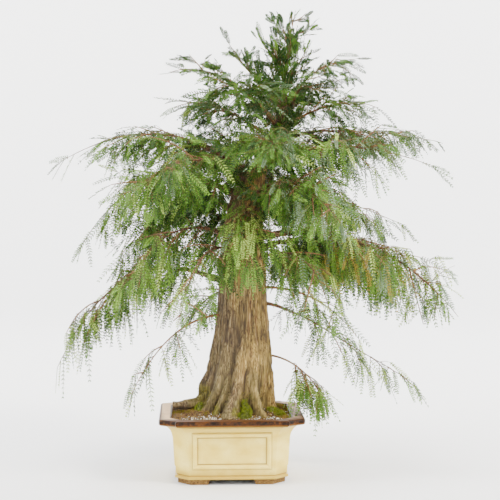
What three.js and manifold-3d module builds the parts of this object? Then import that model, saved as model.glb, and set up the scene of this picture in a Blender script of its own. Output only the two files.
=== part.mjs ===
// Potted bald cypress, grown as a bonsai: a fluted trunk with drooping boughs in a glazed pot.
// Millimetres, +Z up, -Y is the front of the pot. Heights are above the surface the feet stand on.
import * as THREE from "three";
import { mergeVertices } from "three/addons/utils/BufferGeometryUtils.js";
import Module from "manifold-3d";

const wasm = await Module();
wasm.setup();
const { Manifold } = wasm;

// Pot: 15 by 12.6 inches over the lip
const POT_WIDTH = 380;
const POT_DEPTH = 320;
const POT_HEIGHT = 175;
const LIP_HEIGHT = 13;
const LIP_WIDTH = 33;
const WALL = 11;
const FOOT_HEIGHT = 14;
const FLOOR_TOP = 27;
const BASE_INSET = 46;
const THROAT_INSET = 36;
const THROAT_HEIGHT = 116;
const COVE_TOP_INSET = 4;
const COVE_DROP = 3;
const COVE_STEPS = 4;
const BASE_TUCK = 2;
const BAND_HEIGHT = 9;
const BAND_PROUD = 2.5;
const BAND_SLOPE = 3;
const BODY_CUT = 34;
const FOOT_SPAN_X = 84;
const FOOT_SPAN_Y = 68;
const FOOT_THICK = 30;
const FOOT_INSET = 4;
const PANEL_BOTTOM = 42;
const PANEL_TOP = 128;
const PANEL_SIDE_MARGIN = 12;
const PANEL_BAND = 13;
const PANEL_PROUD = 3;
const PANEL_SUNK = 4;

// How far each point of a corner lies in from the square corner, along X and along Y
const LIP_CORNER = [[45, 0], [42, 10], [3, 30], [0, 36]];
const BODY_CORNER = [[BODY_CUT, 0], [30, 4], [4, 30], [0, BODY_CUT]];
const INNER_CORNER_SHARE = 0.9;

// Soil: a low mound with a flat seat for the trunk
const GROUND = 178;
const SOIL_EDGE = 167;
const SEAT_SHARE = 0.86;
const MOUND_SHARE = 0.75;

// Pieces that touch keep this gap
const GAP = 0.3;
const CUT_GAP = 0.45;

// Trunk sections: height, radius, and how far the middle leans right and back
const TRUNK_SECTIONS = [
  { height: 150, radius: 99, x: 12, y: 4 },
  { height: 215, radius: 92, x: 18, y: 2 },
  { height: 283, radius: 84, x: 26, y: 0 },
  { height: 345, radius: 77, x: 30, y: 0 },
  { height: 425, radius: 70, x: 33, y: 0 },
  { height: 500, radius: 65, x: 33, y: -2 },
  { height: 590, radius: 58, x: 32, y: -4 },
  { height: 695, radius: 49, x: 36, y: -6 },
  { height: 753, radius: 42, x: 44, y: -8 },
  { height: 812, radius: 28, x: 66, y: -10 },
  { height: 860, radius: 21, x: 88, y: -10 },
  { height: 912, radius: 18, x: 114, y: -8 },
  { height: 963, radius: 15, x: 142, y: -6 },
];
const TRUNK_SIDES = 24;
const TRUNK_FLUTES = 7;
const FLUTE_SHARE = 0.035;
const FLUTE_TWIST_HEIGHT = 120;
const FLARE_SHARE = 0.06;
const FLARE_HEIGHT = 90;

// Surface roots: compass turn, how far out they run, how high they leave the trunk, half width
const ROOTS = [
  { turn: 184, reach: 168, leave: 130, radius: 20 },
  { turn: 212, reach: 128, leave: 130, radius: 19 },
  { turn: 237, reach: 112, leave: 90, radius: 14 },
  { turn: 262, reach: 118, leave: 150, radius: 20 },
  { turn: 306, reach: 122, leave: 130, radius: 17 },
  { turn: 342, reach: 108, leave: 110, radius: 17 },
  { turn: 35, reach: 116, leave: 120, radius: 18 },
  { turn: 85, reach: 112, leave: 130, radius: 19 },
  { turn: 135, reach: 122, leave: 110, radius: 18 },
];
const ROOT_START = 62;
const ROOT_KNEE = 88;
const ROOT_KNEE_SHARE = 0.35;
const ROOT_END_SHARE = 0.6;
const ROOT_SIDES = 6;
const ROOT_STEPS = 4;

// The crown is laid out round this upright line
const CROWN_X = 34;

// Boughs: where each leaves the trunk, and its tip as compass turn, reach and height.
// Arch is how far the middle rises above a straight line. Leaders rise from the fork.
const FORK = 957;
const BOUGHS = [
  { name: "low_left", from: 495, turn: 172, reach: 195, tip: 556, arch: 14, radius: 12 },
  { name: "left_front", from: 622, turn: 203, reach: 130, tip: 668, arch: 10, radius: 9 },
  { name: "mid_left", from: 735, turn: 166, reach: 160, tip: 802, arch: 10, radius: 12 },
  { name: "mid_left_back", from: 690, turn: 141, reach: 145, tip: 745, arch: 10, radius: 10 },
  { name: "upper_left", from: 798, turn: 188, reach: 175, tip: 905, arch: 14, radius: 11 },
  { name: "upper_left_front", from: 770, turn: 224, reach: 145, tip: 842, arch: 12, radius: 9 },
  { name: "upper_right", from: 885, turn: 15, reach: 220, tip: 925, arch: 8, radius: 9 },
  { name: "upper_right_front", from: 830, turn: 345, reach: 175, tip: 874, arch: 6, radius: 10 },
  { name: "mid_right", from: 700, turn: 18, reach: 160, tip: 766, arch: -4, radius: 9 },
  { name: "mid_right_back", from: 752, turn: 40, reach: 195, tip: 772, arch: 12, radius: 9 },
  { name: "low_right", from: 628, turn: 350, reach: 390, tip: 592, arch: 44, radius: 12 },
  { name: "low_right_back", from: 590, turn: 8, reach: 170, tip: 640, arch: 8, radius: 9 },
  { name: "bottom_right", from: 468, turn: 3, reach: 200, tip: 405, arch: 16, radius: 7 },
  { name: "front_right", from: 555, turn: 318, reach: 130, tip: 604, arch: 10, radius: 8 },
  { name: "front_left", from: 575, turn: 238, reach: 130, tip: 618, arch: 10, radius: 8 },
  { name: "upper_front", from: 725, turn: 306, reach: 130, tip: 785, arch: 10, radius: 9 },
  { name: "bottom_back", from: 470, turn: 118, reach: 130, tip: 486, arch: 12, radius: 8 },
  { name: "low_back", from: 555, turn: 60, reach: 135, tip: 600, arch: 12, radius: 9 },
  { name: "mid_back", from: 640, turn: 98, reach: 135, tip: 690, arch: 12, radius: 9 },
  { name: "upper_back", from: 765, turn: 72, reach: 130, tip: 825, arch: 10, radius: 9 },
  { name: "crown_top", from: FORK, turn: 8, reach: 114, tip: 1070, arch: 0, radius: 11 },
  { name: "crown_left", from: FORK, turn: 8, reach: 40, tip: 1055, arch: 8, radius: 9 },
  { name: "crown_right", from: FORK, turn: 352, reach: 160, tip: 1048, arch: 4, radius: 8 },
];
const BOUGH_SIDES = 5;
const BOUGH_STEPS = 4;
const BOUGH_TIP_SHARE = 0.42;

// Masses of foliage: each grows to its own tip, given as compass turn, reach and height, from the
// tip of the bough of the same name, or from the trunk where a height is given. Spread is the half
// width of the mass, and hang says how far its sprays weep, from 0, level, to 1, straight down.
const MASSES = [
  { name: "low_left", turn: 173, reach: 506, tip: 284, spread: 122, hang: 0.6, sprays: 10 },
  { name: "bottom_left", from: 428, turn: 194, reach: 305, tip: 235, spread: 80, hang: 0.7, sprays: 6 },
  { name: "left_front", turn: 206, reach: 345, tip: 500, spread: 95, hang: 0.6, sprays: 7 },
  { name: "mid_left", turn: 168, reach: 445, tip: 620, spread: 105, hang: 0.5, sprays: 8 },
  { name: "mid_left_back", turn: 144, reach: 430, tip: 545, spread: 100, hang: 0.55, sprays: 7 },
  { name: "upper_left", turn: 187, reach: 474, tip: 845, spread: 105, hang: 0.2, sprays: 9 },
  { name: "upper_left_front", turn: 224, reach: 410, tip: 735, spread: 95, hang: 0.35, sprays: 7 },
  { name: "top_left_back", from: 900, turn: 150, reach: 215, tip: 990, spread: 85, hang: 0.15, sprays: 7 },
  { name: "top_left", from: 940, turn: 192, reach: 196, tip: 1074, spread: 85, hang: 0.05, sprays: 7 },
  { name: "upper_right", turn: 14, reach: 562, tip: 900, spread: 85, hang: 0.25, sprays: 7 },
  { name: "upper_right_front", turn: 344, reach: 500, tip: 830, spread: 95, hang: 0.3, sprays: 8 },
  { name: "mid_right", turn: 18, reach: 405, tip: 640, spread: 85, hang: 0.55, sprays: 7 },
  { name: "mid_right_back", turn: 32, reach: 560, tip: 664, spread: 90, hang: 0.45, sprays: 8 },
  { name: "low_right", turn: 349, reach: 568, tip: 436, spread: 90, hang: 0.75, sprays: 8 },
  { name: "low_right_back", turn: 8, reach: 430, tip: 490, spread: 90, hang: 0.7, sprays: 8 },
  { name: "right_front", from: 500, turn: 332, reach: 330, tip: 385, spread: 80, hang: 0.75, sprays: 6 },
  { name: "bottom_right", turn: 2, reach: 462, tip: 246, spread: 75, hang: 0.65, sprays: 6 },
  { name: "bottom_right_near", from: 318, turn: 345, reach: 226, tip: 172, spread: 72, hang: 0.8, sprays: 5 },
  { name: "front_right", turn: 312, reach: 320, tip: 430, spread: 85, hang: 0.6, sprays: 6 },
  { name: "front_left", turn: 240, reach: 340, tip: 445, spread: 90, hang: 0.6, sprays: 7 },
  { name: "front", from: 700, turn: 270, reach: 230, tip: 560, spread: 85, hang: 0.6, sprays: 7 },
  { name: "upper_front", turn: 306, reach: 380, tip: 690, spread: 90, hang: 0.4, sprays: 7 },
  { name: "top_front", from: 850, turn: 282, reach: 330, tip: 870, spread: 95, hang: 0.25, sprays: 8 },
  { name: "bottom_back", turn: 120, reach: 365, tip: 300, spread: 85, hang: 0.6, sprays: 6 },
  { name: "low_back", turn: 60, reach: 410, tip: 430, spread: 95, hang: 0.55, sprays: 7 },
  { name: "mid_back", turn: 98, reach: 410, tip: 545, spread: 95, hang: 0.5, sprays: 7 },
  { name: "upper_back", turn: 70, reach: 405, tip: 735, spread: 95, hang: 0.35, sprays: 7 },
  { name: "top_back", from: 865, turn: 115, reach: 335, tip: 860, spread: 95, hang: 0.25, sprays: 8 },
  { name: "top_right", from: 915, turn: 354, reach: 350, tip: 985, spread: 85, hang: 0.15, sprays: 7 },
  { name: "top_front_high", from: 930, turn: 248, reach: 200, tip: 1020, spread: 80, hang: 0.1, sprays: 6 },
  { name: "top_back_high", from: 925, turn: 62, reach: 240, tip: 1010, spread: 85, hang: 0.1, sprays: 6 },
  { name: "crown_top", turn: 4, reach: 140, tip: 1243, spread: 85, hang: -0.7, sprays: 8 },
  { name: "crown_left", turn: 178, reach: 45, tip: 1196, spread: 85, hang: -0.3, sprays: 8 },
  { name: "crown_right", turn: 350, reach: 300, tip: 1110, spread: 95, hang: -0.1, sprays: 8 },
];

// Sprays: a blade cut into needles, and the three-sided twig that bears it
const SPRAY_LENGTH = 122;
const SPRAY_WIDTH = 56;
const SPRAY_THICK = 2.4;
const RIB_SHARE = 0.45;
const SPRAY_TEETH = 3;
const SPRAY_SUNK = 9;
const TWIG_RADIUS = 1.7;
const STEM_RADIUS = 3.6;
const STEM_SIDES = 3;
const STEM_STEPS = 3;
const STEM_BEND = 0.45;
const BARE_SHARE = 0.1;
const BARE_SHARE_FROM_TRUNK = 0.42;
const TRUNK_STEM_RISE = 45;
const TRUNK_STEM_BEND = 0.6;
const TRUNK_STEM_SHARE = 1.3;
const LAST_ROLL = 0.7;

// How a spray's twig leaves the stem, each a range that the seeded numbers pick from
const OPEN_DEGREES = [40, 80];
const LIFT = [-0.35, 0.45];
const LENGTH_SHARE = [0.85, 1.1];
const TWIG_SHARE = [0.3, 0.85];
const HANG_SHARE = [0.8, 1.2];
const ROLL = [-1, 1];
const BULGE = [0.25, 0.85];

// Clear distances that a mass keeps, and how a spray that doesn't fit is tried again
const SPACE_MARGIN = 4;
const LIMB_MARGIN = 5;
const POT_MARGIN = 12;
const CROSS_MARGIN = 13;
const BOUGH_SAMPLES = 24;
const TRUNK_SAMPLE_HEIGHT = 12;
const STEM_SAMPLES = 20;
const PROBE_SHARES = [0, 0.25, 0.5, 0.75, 1];
const TRIES = 12;
const SIMPLER = 0.15;
const SHRINK = 0.95;
const CROWN_SEED = 4647;

const UP = new THREE.Vector3(0, 0, 1);

// Repeatable random numbers from 0 to 1
function seededRandom(seed) {
  let state = seed >>> 0;
  return () => {
    state = (Math.imul(state, 1664525) + 1013904223) >>> 0;
    return (state >>> 8) / 16777216;
  };
}

function mix(a, b, share) {
  return a + (b - a) * share;
}

// A point at a compass turn and reach from the middle of the crown
function crownPoint(turn, reach, height) {
  const angle = THREE.MathUtils.degToRad(turn);
  return new THREE.Vector3(CROWN_X + reach * Math.cos(angle), reach * Math.sin(angle), height);
}

function solidFrom(geometry) {
  const bare = geometry.clone();
  bare.deleteAttribute("normal");
  bare.deleteAttribute("uv");
  const merged = mergeVertices(bare, 1e-4);
  return new Manifold(new wasm.Mesh({
    numProp: 3,
    vertProperties: new Float32Array(merged.attributes.position.array),
    triVerts: new Uint32Array(merged.index.array),
  }));
}

function geometryFrom(solid) {
  const mesh = solid.getMesh();
  const geometry = new THREE.BufferGeometry();
  geometry.setAttribute("position", new THREE.BufferAttribute(new Float32Array(mesh.vertProperties), 3));
  geometry.setIndex(new THREE.BufferAttribute(new Uint32Array(mesh.triVerts), 1));
  geometry.computeVertexNormals();
  return geometry;
}

// A closed skin over rings of points that run counterclockwise round the way they advance.
// Its ends close on their own middle.
function loft(rings) {
  const sides = rings[0].length;
  const points = rings.flat();
  const faces = [];
  for (let ring = 0; ring < rings.length - 1; ring += 1) {
    for (let side = 0; side < sides; side += 1) {
      const a = ring * sides + side;
      const b = ring * sides + (side + 1) % sides;
      faces.push(a, b, b + sides, a, b + sides, a + sides);
    }
  }
  for (const [ring, turned] of [[0, true], [rings.length - 1, false]]) {
    const middle = points.length;
    const total = rings[ring].reduce((sum, point) => sum.add(point), new THREE.Vector3());
    points.push(total.divideScalar(sides));
    for (let side = 0; side < sides; side += 1) {
      const a = ring * sides + side;
      const b = ring * sides + (side + 1) % sides;
      faces.push(...(turned ? [middle, b, a] : [middle, a, b]));
    }
  }
  const geometry = new THREE.BufferGeometry().setFromPoints(points);
  geometry.setIndex(faces);
  return geometry;
}

// A tapering limb along a curve
function taperedTube(curve, sides, steps, radiusAt) {
  const frames = curve.computeFrenetFrames(steps, false);
  const rings = [];
  for (let step = 0; step <= steps; step += 1) {
    const centre = curve.getPointAt(step / steps);
    const radius = radiusAt(step / steps);
    const ring = [];
    for (let side = 0; side < sides; side += 1) {
      const angle = 2 * Math.PI * side / sides;
      ring.push(centre.clone()
        .addScaledVector(frames.normals[step], radius * Math.cos(angle))
        .addScaledVector(frames.binormals[step], radius * Math.sin(angle)));
    }
    rings.push(ring);
  }
  return solidFrom(loft(rings));
}

function largestPiece(solid) {
  const pieces = solid.decompose();
  return pieces.reduce((best, piece) => (piece.volume() > best.volume() ? piece : best));
}

function boxSolid(width, depth, height, x, y, z) {
  const box = new THREE.BoxGeometry(width, depth, height);
  box.translate(x, y, z);
  return solidFrom(box);
}

// Plan outline of the pot, 16 points counterclockwise, with the given corner
function potOutline(halfX, halfY, height, corner) {
  const quadrants = [[1, -1, false], [1, 1, true], [-1, 1, false], [-1, -1, true]];
  return quadrants.flatMap(([signX, signY, reversed]) => {
    const points = corner.map(([insetX, insetY]) => new THREE.Vector3(
      signX * (halfX - insetX), signY * (halfY - insetY), height));
    return reversed ? points.reverse() : points;
  });
}

function blendedCorner(share) {
  return BODY_CORNER.map(([x, y], i) => [mix(x, LIP_CORNER[i][0], share), mix(y, LIP_CORNER[i][1], share)]);
}

// Inset of the outer wall from the lip at a height
function wallInset(height) {
  const share = (height - FOOT_HEIGHT) / (THROAT_HEIGHT - FOOT_HEIGHT);
  return mix(BASE_INSET, THROAT_INSET, Math.min(Math.max(share, 0), 1));
}

function outerRing(inset, height, cornerShare) {
  return potOutline(POT_WIDTH / 2 - inset, POT_DEPTH / 2 - inset, height, blendedCorner(cornerShare));
}

function innerRing(inset, height) {
  const corner = BODY_CORNER.map(([x, y]) => [x * INNER_CORNER_SHARE, y * INNER_CORNER_SHARE]);
  return potOutline(POT_WIDTH / 2 - inset, POT_DEPTH / 2 - inset, height, corner);
}

// Walls, cove and lip: up the outside, over the lip and down to the floor inside
function potBody() {
  const bandTop = FOOT_HEIGHT + BAND_HEIGHT;
  const lipBottom = POT_HEIGHT - LIP_HEIGHT;
  const rings = [
    outerRing(BASE_INSET + BASE_TUCK, FOOT_HEIGHT, 0),
    outerRing(BASE_INSET - BAND_PROUD, FOOT_HEIGHT + BAND_SLOPE, 0),
    outerRing(BASE_INSET - BAND_PROUD, bandTop - BAND_SLOPE, 0),
    outerRing(wallInset(bandTop), bandTop, 0),
  ];
  for (let step = 0; step <= COVE_STEPS; step += 1) {
    const angle = Math.PI / 2 * step / COVE_STEPS;
    const share = 1 - Math.cos(angle);
    const height = mix(THROAT_HEIGHT, lipBottom - COVE_DROP, Math.sin(angle));
    rings.push(outerRing(mix(THROAT_INSET, COVE_TOP_INSET, share), height, share));
  }
  rings.push(outerRing(0, lipBottom, 1));
  rings.push(outerRing(0, POT_HEIGHT, 1));
  rings.push(innerRing(LIP_WIDTH, POT_HEIGHT));
  rings.push(innerRing(LIP_WIDTH, lipBottom));
  rings.push(innerRing(THROAT_INSET + WALL, THROAT_HEIGHT));
  rings.push(innerRing(BASE_INSET + WALL, FLOOR_TOP));
  return solidFrom(loft(rings));
}

// A bracket foot under one corner: an L in plan with the corner cut off
function potFoot(signX, signY) {
  const outerX = POT_WIDTH / 2 - BASE_INSET - FOOT_INSET;
  const outerY = POT_DEPTH / 2 - BASE_INSET - FOOT_INSET;
  const shape = new THREE.Shape([
    new THREE.Vector2(outerX - FOOT_SPAN_X, outerY - FOOT_THICK),
    new THREE.Vector2(outerX - FOOT_THICK, outerY - FOOT_THICK),
    new THREE.Vector2(outerX - FOOT_THICK, outerY - FOOT_SPAN_Y),
    new THREE.Vector2(outerX, outerY - FOOT_SPAN_Y),
    new THREE.Vector2(outerX, outerY - BODY_CUT),
    new THREE.Vector2(outerX - BODY_CUT, outerY),
    new THREE.Vector2(outerX - FOOT_SPAN_X, outerY),
  ].map((point) => new THREE.Vector2(signX * point.x, signY * point.y)));
  const foot = new THREE.ExtrudeGeometry(shape, { depth: FOOT_HEIGHT + BASE_TUCK, bevelEnabled: false });
  return solidFrom(foot);
}

// The raised frame on one wall, tilted with the wall. Facing is the wall's compass turn.
function potPanel(facing, halfFace, halfOut) {
  const tilt = Math.atan2(BASE_INSET - THROAT_INSET, THROAT_HEIGHT - FOOT_HEIGHT);
  const halfWidth = halfFace - BODY_CUT - PANEL_SIDE_MARGIN;
  const halfHeight = (PANEL_TOP - PANEL_BOTTOM) / 2;
  const frame = new THREE.Shape();
  frame.moveTo(-halfWidth, -halfHeight);
  frame.lineTo(halfWidth, -halfHeight);
  frame.lineTo(halfWidth, halfHeight);
  frame.lineTo(-halfWidth, halfHeight);
  const inner = new THREE.Path();
  inner.moveTo(-halfWidth + PANEL_BAND, -halfHeight + PANEL_BAND);
  inner.lineTo(-halfWidth + PANEL_BAND, halfHeight - PANEL_BAND);
  inner.lineTo(halfWidth - PANEL_BAND, halfHeight - PANEL_BAND);
  inner.lineTo(halfWidth - PANEL_BAND, -halfHeight + PANEL_BAND);
  frame.holes.push(inner);
  const panel = new THREE.ExtrudeGeometry(frame, { depth: PANEL_PROUD + PANEL_SUNK, bevelEnabled: false });
  const middle = (PANEL_BOTTOM + PANEL_TOP) / 2;
  panel.translate(0, 0, -PANEL_SUNK);
  panel.rotateX(Math.PI / 2 + tilt);
  panel.translate(0, -(halfOut - wallInset(middle)), middle);
  panel.rotateZ(THREE.MathUtils.degToRad(facing));
  return solidFrom(panel);
}

function buildPot() {
  const feet = [[-1, -1], [1, -1], [-1, 1], [1, 1]].map(([x, y]) => potFoot(x, y));
  const halfFront = POT_WIDTH / 2 - BASE_INSET;
  const halfSide = POT_DEPTH / 2 - BASE_INSET;
  const panels = [
    potPanel(0, halfFront, POT_DEPTH / 2),
    potPanel(90, halfSide, POT_WIDTH / 2),
    potPanel(180, halfFront, POT_DEPTH / 2),
    potPanel(270, halfSide, POT_WIDTH / 2),
  ];
  return Manifold.union([potBody(), ...feet, ...panels]);
}

// Soil that fills the hollow, with its mound flat under the trunk
function buildSoil() {
  const seat = LIP_WIDTH + (1 - SEAT_SHARE) * POT_WIDTH / 2;
  return solidFrom(loft([
    innerRing(BASE_INSET + WALL + GAP, FLOOR_TOP + GAP),
    innerRing(THROAT_INSET + WALL + GAP, THROAT_HEIGHT),
    innerRing(LIP_WIDTH + GAP * 2, POT_HEIGHT - LIP_HEIGHT),
    innerRing(LIP_WIDTH + GAP, SOIL_EDGE),
    innerRing(mix(LIP_WIDTH, seat, 0.5), mix(SOIL_EDGE, GROUND - GAP, MOUND_SHARE)),
    innerRing(seat, GROUND - GAP),
  ]));
}

// Middle and radius of the trunk at a height, on smooth curves through its sections
const trunkLine = new THREE.CatmullRomCurve3(
  TRUNK_SECTIONS.map(({ height, x, y }) => new THREE.Vector3(x, y, height)));

function trunkSection(height) {
  const last = TRUNK_SECTIONS.length - 2;
  let index = 0;
  while (index < last && TRUNK_SECTIONS[index + 1].height < height) {
    index += 1;
  }
  const low = TRUNK_SECTIONS[index];
  const high = TRUNK_SECTIONS[index + 1];
  const share = Math.min(Math.max((height - low.height) / (high.height - low.height), 0), 1);
  const centre = trunkLine.getPoint((index + share) / (last + 1));
  return { centre, radius: mix(low.radius, high.radius, share) };
}

// Flutes run up the trunk and deepen towards the roots
function fluteShare(angle, height) {
  const flare = FLARE_SHARE * Math.exp(-(height - GROUND) / FLARE_HEIGHT);
  return 1 + (FLUTE_SHARE + flare) * Math.cos(TRUNK_FLUTES * angle + height / FLUTE_TWIST_HEIGHT);
}

function trunkSkin(grow) {
  const rings = TRUNK_SECTIONS.map(({ height }, index) => {
    const { centre, radius } = trunkSection(height);
    const end = index === TRUNK_SECTIONS.length - 1 ? grow : 0;
    const ring = [];
    for (let side = 0; side < TRUNK_SIDES; side += 1) {
      const angle = 2 * Math.PI * side / TRUNK_SIDES;
      const out = radius * fluteShare(angle, height) + grow;
      ring.push(new THREE.Vector3(
        centre.x + out * Math.cos(angle), centre.y + out * Math.sin(angle), height + end));
    }
    return ring;
  });
  return solidFrom(loft(rings));
}

// A root that leaves the trunk, runs down its foot and out over the soil
function surfaceRoot({ turn, reach, leave, radius }, grow) {
  const angle = THREE.MathUtils.degToRad(turn);
  const way = new THREE.Vector3(Math.cos(angle), Math.sin(angle), 0);
  const { centre } = trunkSection(GROUND);
  const at = (out, height) => centre.clone().addScaledVector(way, out).setZ(height);
  const curve = new THREE.CatmullRomCurve3([
    at(ROOT_START, GROUND + leave),
    at(ROOT_KNEE, GROUND + leave * ROOT_KNEE_SHARE),
    at(mix(ROOT_KNEE, reach, 0.5), GROUND + radius * 0.4),
    at(reach, GROUND - radius * 0.25),
  ]);
  return taperedTube(curve, ROOT_SIDES, ROOT_STEPS, (share) => radius * mix(1, ROOT_END_SHARE, share) + grow);
}

function buildTrunk(grow) {
  const roots = ROOTS.map((root) => surfaceRoot(root, grow));
  const whole = Manifold.union([trunkSkin(grow), ...roots]);
  const below = boxSolid(POT_WIDTH, POT_DEPTH, GROUND, 0, 0, GROUND / 2 - grow);
  return whole.subtract(below);
}

// A bough's line from the middle of the trunk to its tip
function boughCurve({ from, turn, reach, tip, arch }) {
  const start = trunkSection(from).centre;
  const end = crownPoint(turn, reach, tip);
  const middle = start.clone().lerp(end, 0.5).addScaledVector(UP, arch * 2);
  return new THREE.QuadraticBezierCurve3(start, middle, end);
}

function boughRadius(bough, share) {
  return bough.radius * mix(1, BOUGH_TIP_SHARE, share);
}

function boughSolid(bough, grow) {
  const radiusAt = (share) => boughRadius(bough, share) + grow;
  return taperedTube(boughCurve(bough), BOUGH_SIDES, BOUGH_STEPS, radiusAt);
}

// The line of a mass: it goes on from its bough, or leaves the trunk, and bends to its tip
function massLine(mass) {
  const end = crownPoint(mass.turn, mass.reach, mass.tip);
  if (mass.from !== undefined) {
    const start = trunkSection(mass.from).centre;
    const top = Math.max(mass.from, mass.tip) + TRUNK_STEM_RISE;
    const middle = start.clone().lerp(end, TRUNK_STEM_BEND).setZ(top);
    return new THREE.QuadraticBezierCurve3(start, middle, end);
  }
  const line = boughCurve(BOUGHS.find(({ name }) => name === mass.name));
  const way = line.getTangentAt(1);
  const start = line.getPointAt(1).addScaledVector(way, GAP);
  const middle = start.clone().addScaledVector(way, start.distanceTo(end) * STEM_BEND);
  return new THREE.QuadraticBezierCurve3(start, middle, end);
}

// The stem is that line up to where its last spray begins
function stemCurve(mass) {
  const line = massLine(mass);
  const share = line.getUtoTmapping(1 - (SPRAY_LENGTH - SPRAY_SUNK) / line.getLength());
  const middle = line.v0.clone().lerp(line.v1, share);
  return new THREE.QuadraticBezierCurve3(line.v0, middle, line.getPoint(share));
}

// Outline of a spray in its own plane: along it from the root, and half its width there
function sprayOutline(length, width) {
  const side = [[0, TWIG_RADIUS]];
  for (let tooth = 0; tooth < SPRAY_TEETH; tooth += 1) {
    const share = (tooth + 1) / (SPRAY_TEETH + 0.7);
    const half = width / 2 * Math.sin(Math.PI * mix(0.3, 0.82, tooth / (SPRAY_TEETH - 1)));
    side.push([share * length, half]);
    if (tooth < SPRAY_TEETH - 1) {
      side.push([(share + 0.04) * length, half * 0.42]);
    }
  }
  return side;
}

// A three-sided twig that widens into its spray: a toothed blade, flat below, with a rib on top
function twigWithSpray(base, root, way, across, length, width) {
  const lift = new THREE.Vector3().crossVectors(across, way);
  const place = (along, out, up) => root.clone()
    .addScaledVector(way, along).addScaledVector(across, out).addScaledVector(lift, up);
  const side = sprayOutline(length, width);
  const edge = [
    ...side.map(([along, out]) => place(along, out, 0)),
    place(length, 0, 0),
    ...side.toReversed().map(([along, out]) => place(along, -out, 0)),
  ];
  const points = [...edge];
  const addPoint = (point) => points.push(point) - 1;
  const last = edge.length - 1;
  const rib = RIB_SHARE * length;
  const upperRoot = addPoint(place(0, 0, TWIG_RADIUS * 2));
  const upperRib = addPoint(place(rib, 0, SPRAY_THICK));
  const lowerRib = addPoint(place(rib, 0, 0));
  const faces = [];
  for (let index = 0; index < last; index += 1) {
    faces.push(index, index + 1, upperRib, index + 1, index, lowerRib);
  }
  faces.push(0, upperRib, upperRoot, last, upperRoot, upperRib, 0, last, lowerRib);
  const ring = [0, upperRoot, last];
  const foot = ring.map((index) => addPoint(points[index].clone().sub(root).add(base)));
  ring.forEach((index, i) => {
    const next = (i + 1) % ring.length;
    faces.push(index, foot[next], foot[i], index, ring[next], foot[next]);
  });
  faces.push(...foot);
  const geometry = new THREE.BufferGeometry().setFromPoints(points);
  geometry.setIndex(faces);
  return solidFrom(geometry);
}

// Samples of every limb, for the rule that foliage keeps off them
function limbSamples() {
  const samples = [];
  for (let height = GROUND; height <= FORK; height += TRUNK_SAMPLE_HEIGHT) {
    const { centre, radius } = trunkSection(height);
    samples.push({ point: centre.setZ(height), radius: radius * (1 + FLUTE_SHARE) });
  }
  for (const bough of BOUGHS) {
    const curve = boughCurve(bough);
    for (let step = 0; step <= BOUGH_SAMPLES; step += 1) {
      const share = step / BOUGH_SAMPLES;
      samples.push({ point: curve.getPointAt(share), radius: boughRadius(bough, share) });
    }
  }
  return samples;
}

const LIMBS = limbSamples();
const STEMS = MASSES.map((mass) => stemCurve(mass));
const STEM_POINTS = STEMS.map((curve) => curve.getSpacedPoints(STEM_SAMPLES));

function stemDistance(index, point) {
  return Math.min(...STEM_POINTS[index].map((sample) => sample.distanceTo(point)));
}

// True where a point lies in its own mass's space, off every limb, and off the pot and soil
function pointIsFree(index, point) {
  const besidePot = Math.abs(point.x) > POT_WIDTH / 2 + POT_MARGIN
    || Math.abs(point.y) > POT_DEPTH / 2 + POT_MARGIN;
  if (!besidePot && point.z < GROUND + POT_MARGIN) {
    return false;
  }
  if (LIMBS.some(({ point: limb, radius }) => limb.distanceTo(point) < radius + LIMB_MARGIN)) {
    return false;
  }
  const own = stemDistance(index, point) + SPACE_MARGIN;
  return STEM_POINTS.every((samples, other) => other === index || stemDistance(other, point) > own);
}

// A point on the middle of a stem's straight steps
function stemPoint(curve, share) {
  const step = Math.min(Math.floor(share * STEM_STEPS), STEM_STEPS - 1);
  const from = curve.getPointAt(step / STEM_STEPS);
  return from.lerp(curve.getPointAt((step + 1) / STEM_STEPS), share * STEM_STEPS - step);
}

// A twig's spray hangs from its end, turned by roll about its own length
function sprayWays(way, hang, roll) {
  const tipWay = way.clone().addScaledVector(UP, -hang).normalize();
  const level = new THREE.Vector3().crossVectors(tipWay, UP).normalize();
  return { tipWay, across: level.applyAxisAngle(tipWay, roll) };
}

// Points over a spray and its twig, to try against the mass's space and its other sprays
function sprayProbes(base, root, tipWay, across, length, width) {
  const probes = [base.clone().lerp(root, 0.7)];
  for (const along of PROBE_SHARES) {
    for (const out of along === 0 || along === 1 ? [0] : [-0.5, 0, 0.5]) {
      probes.push(root.clone().addScaledVector(tipWay, along * length).addScaledVector(across, out * width));
    }
  }
  return probes;
}

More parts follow.
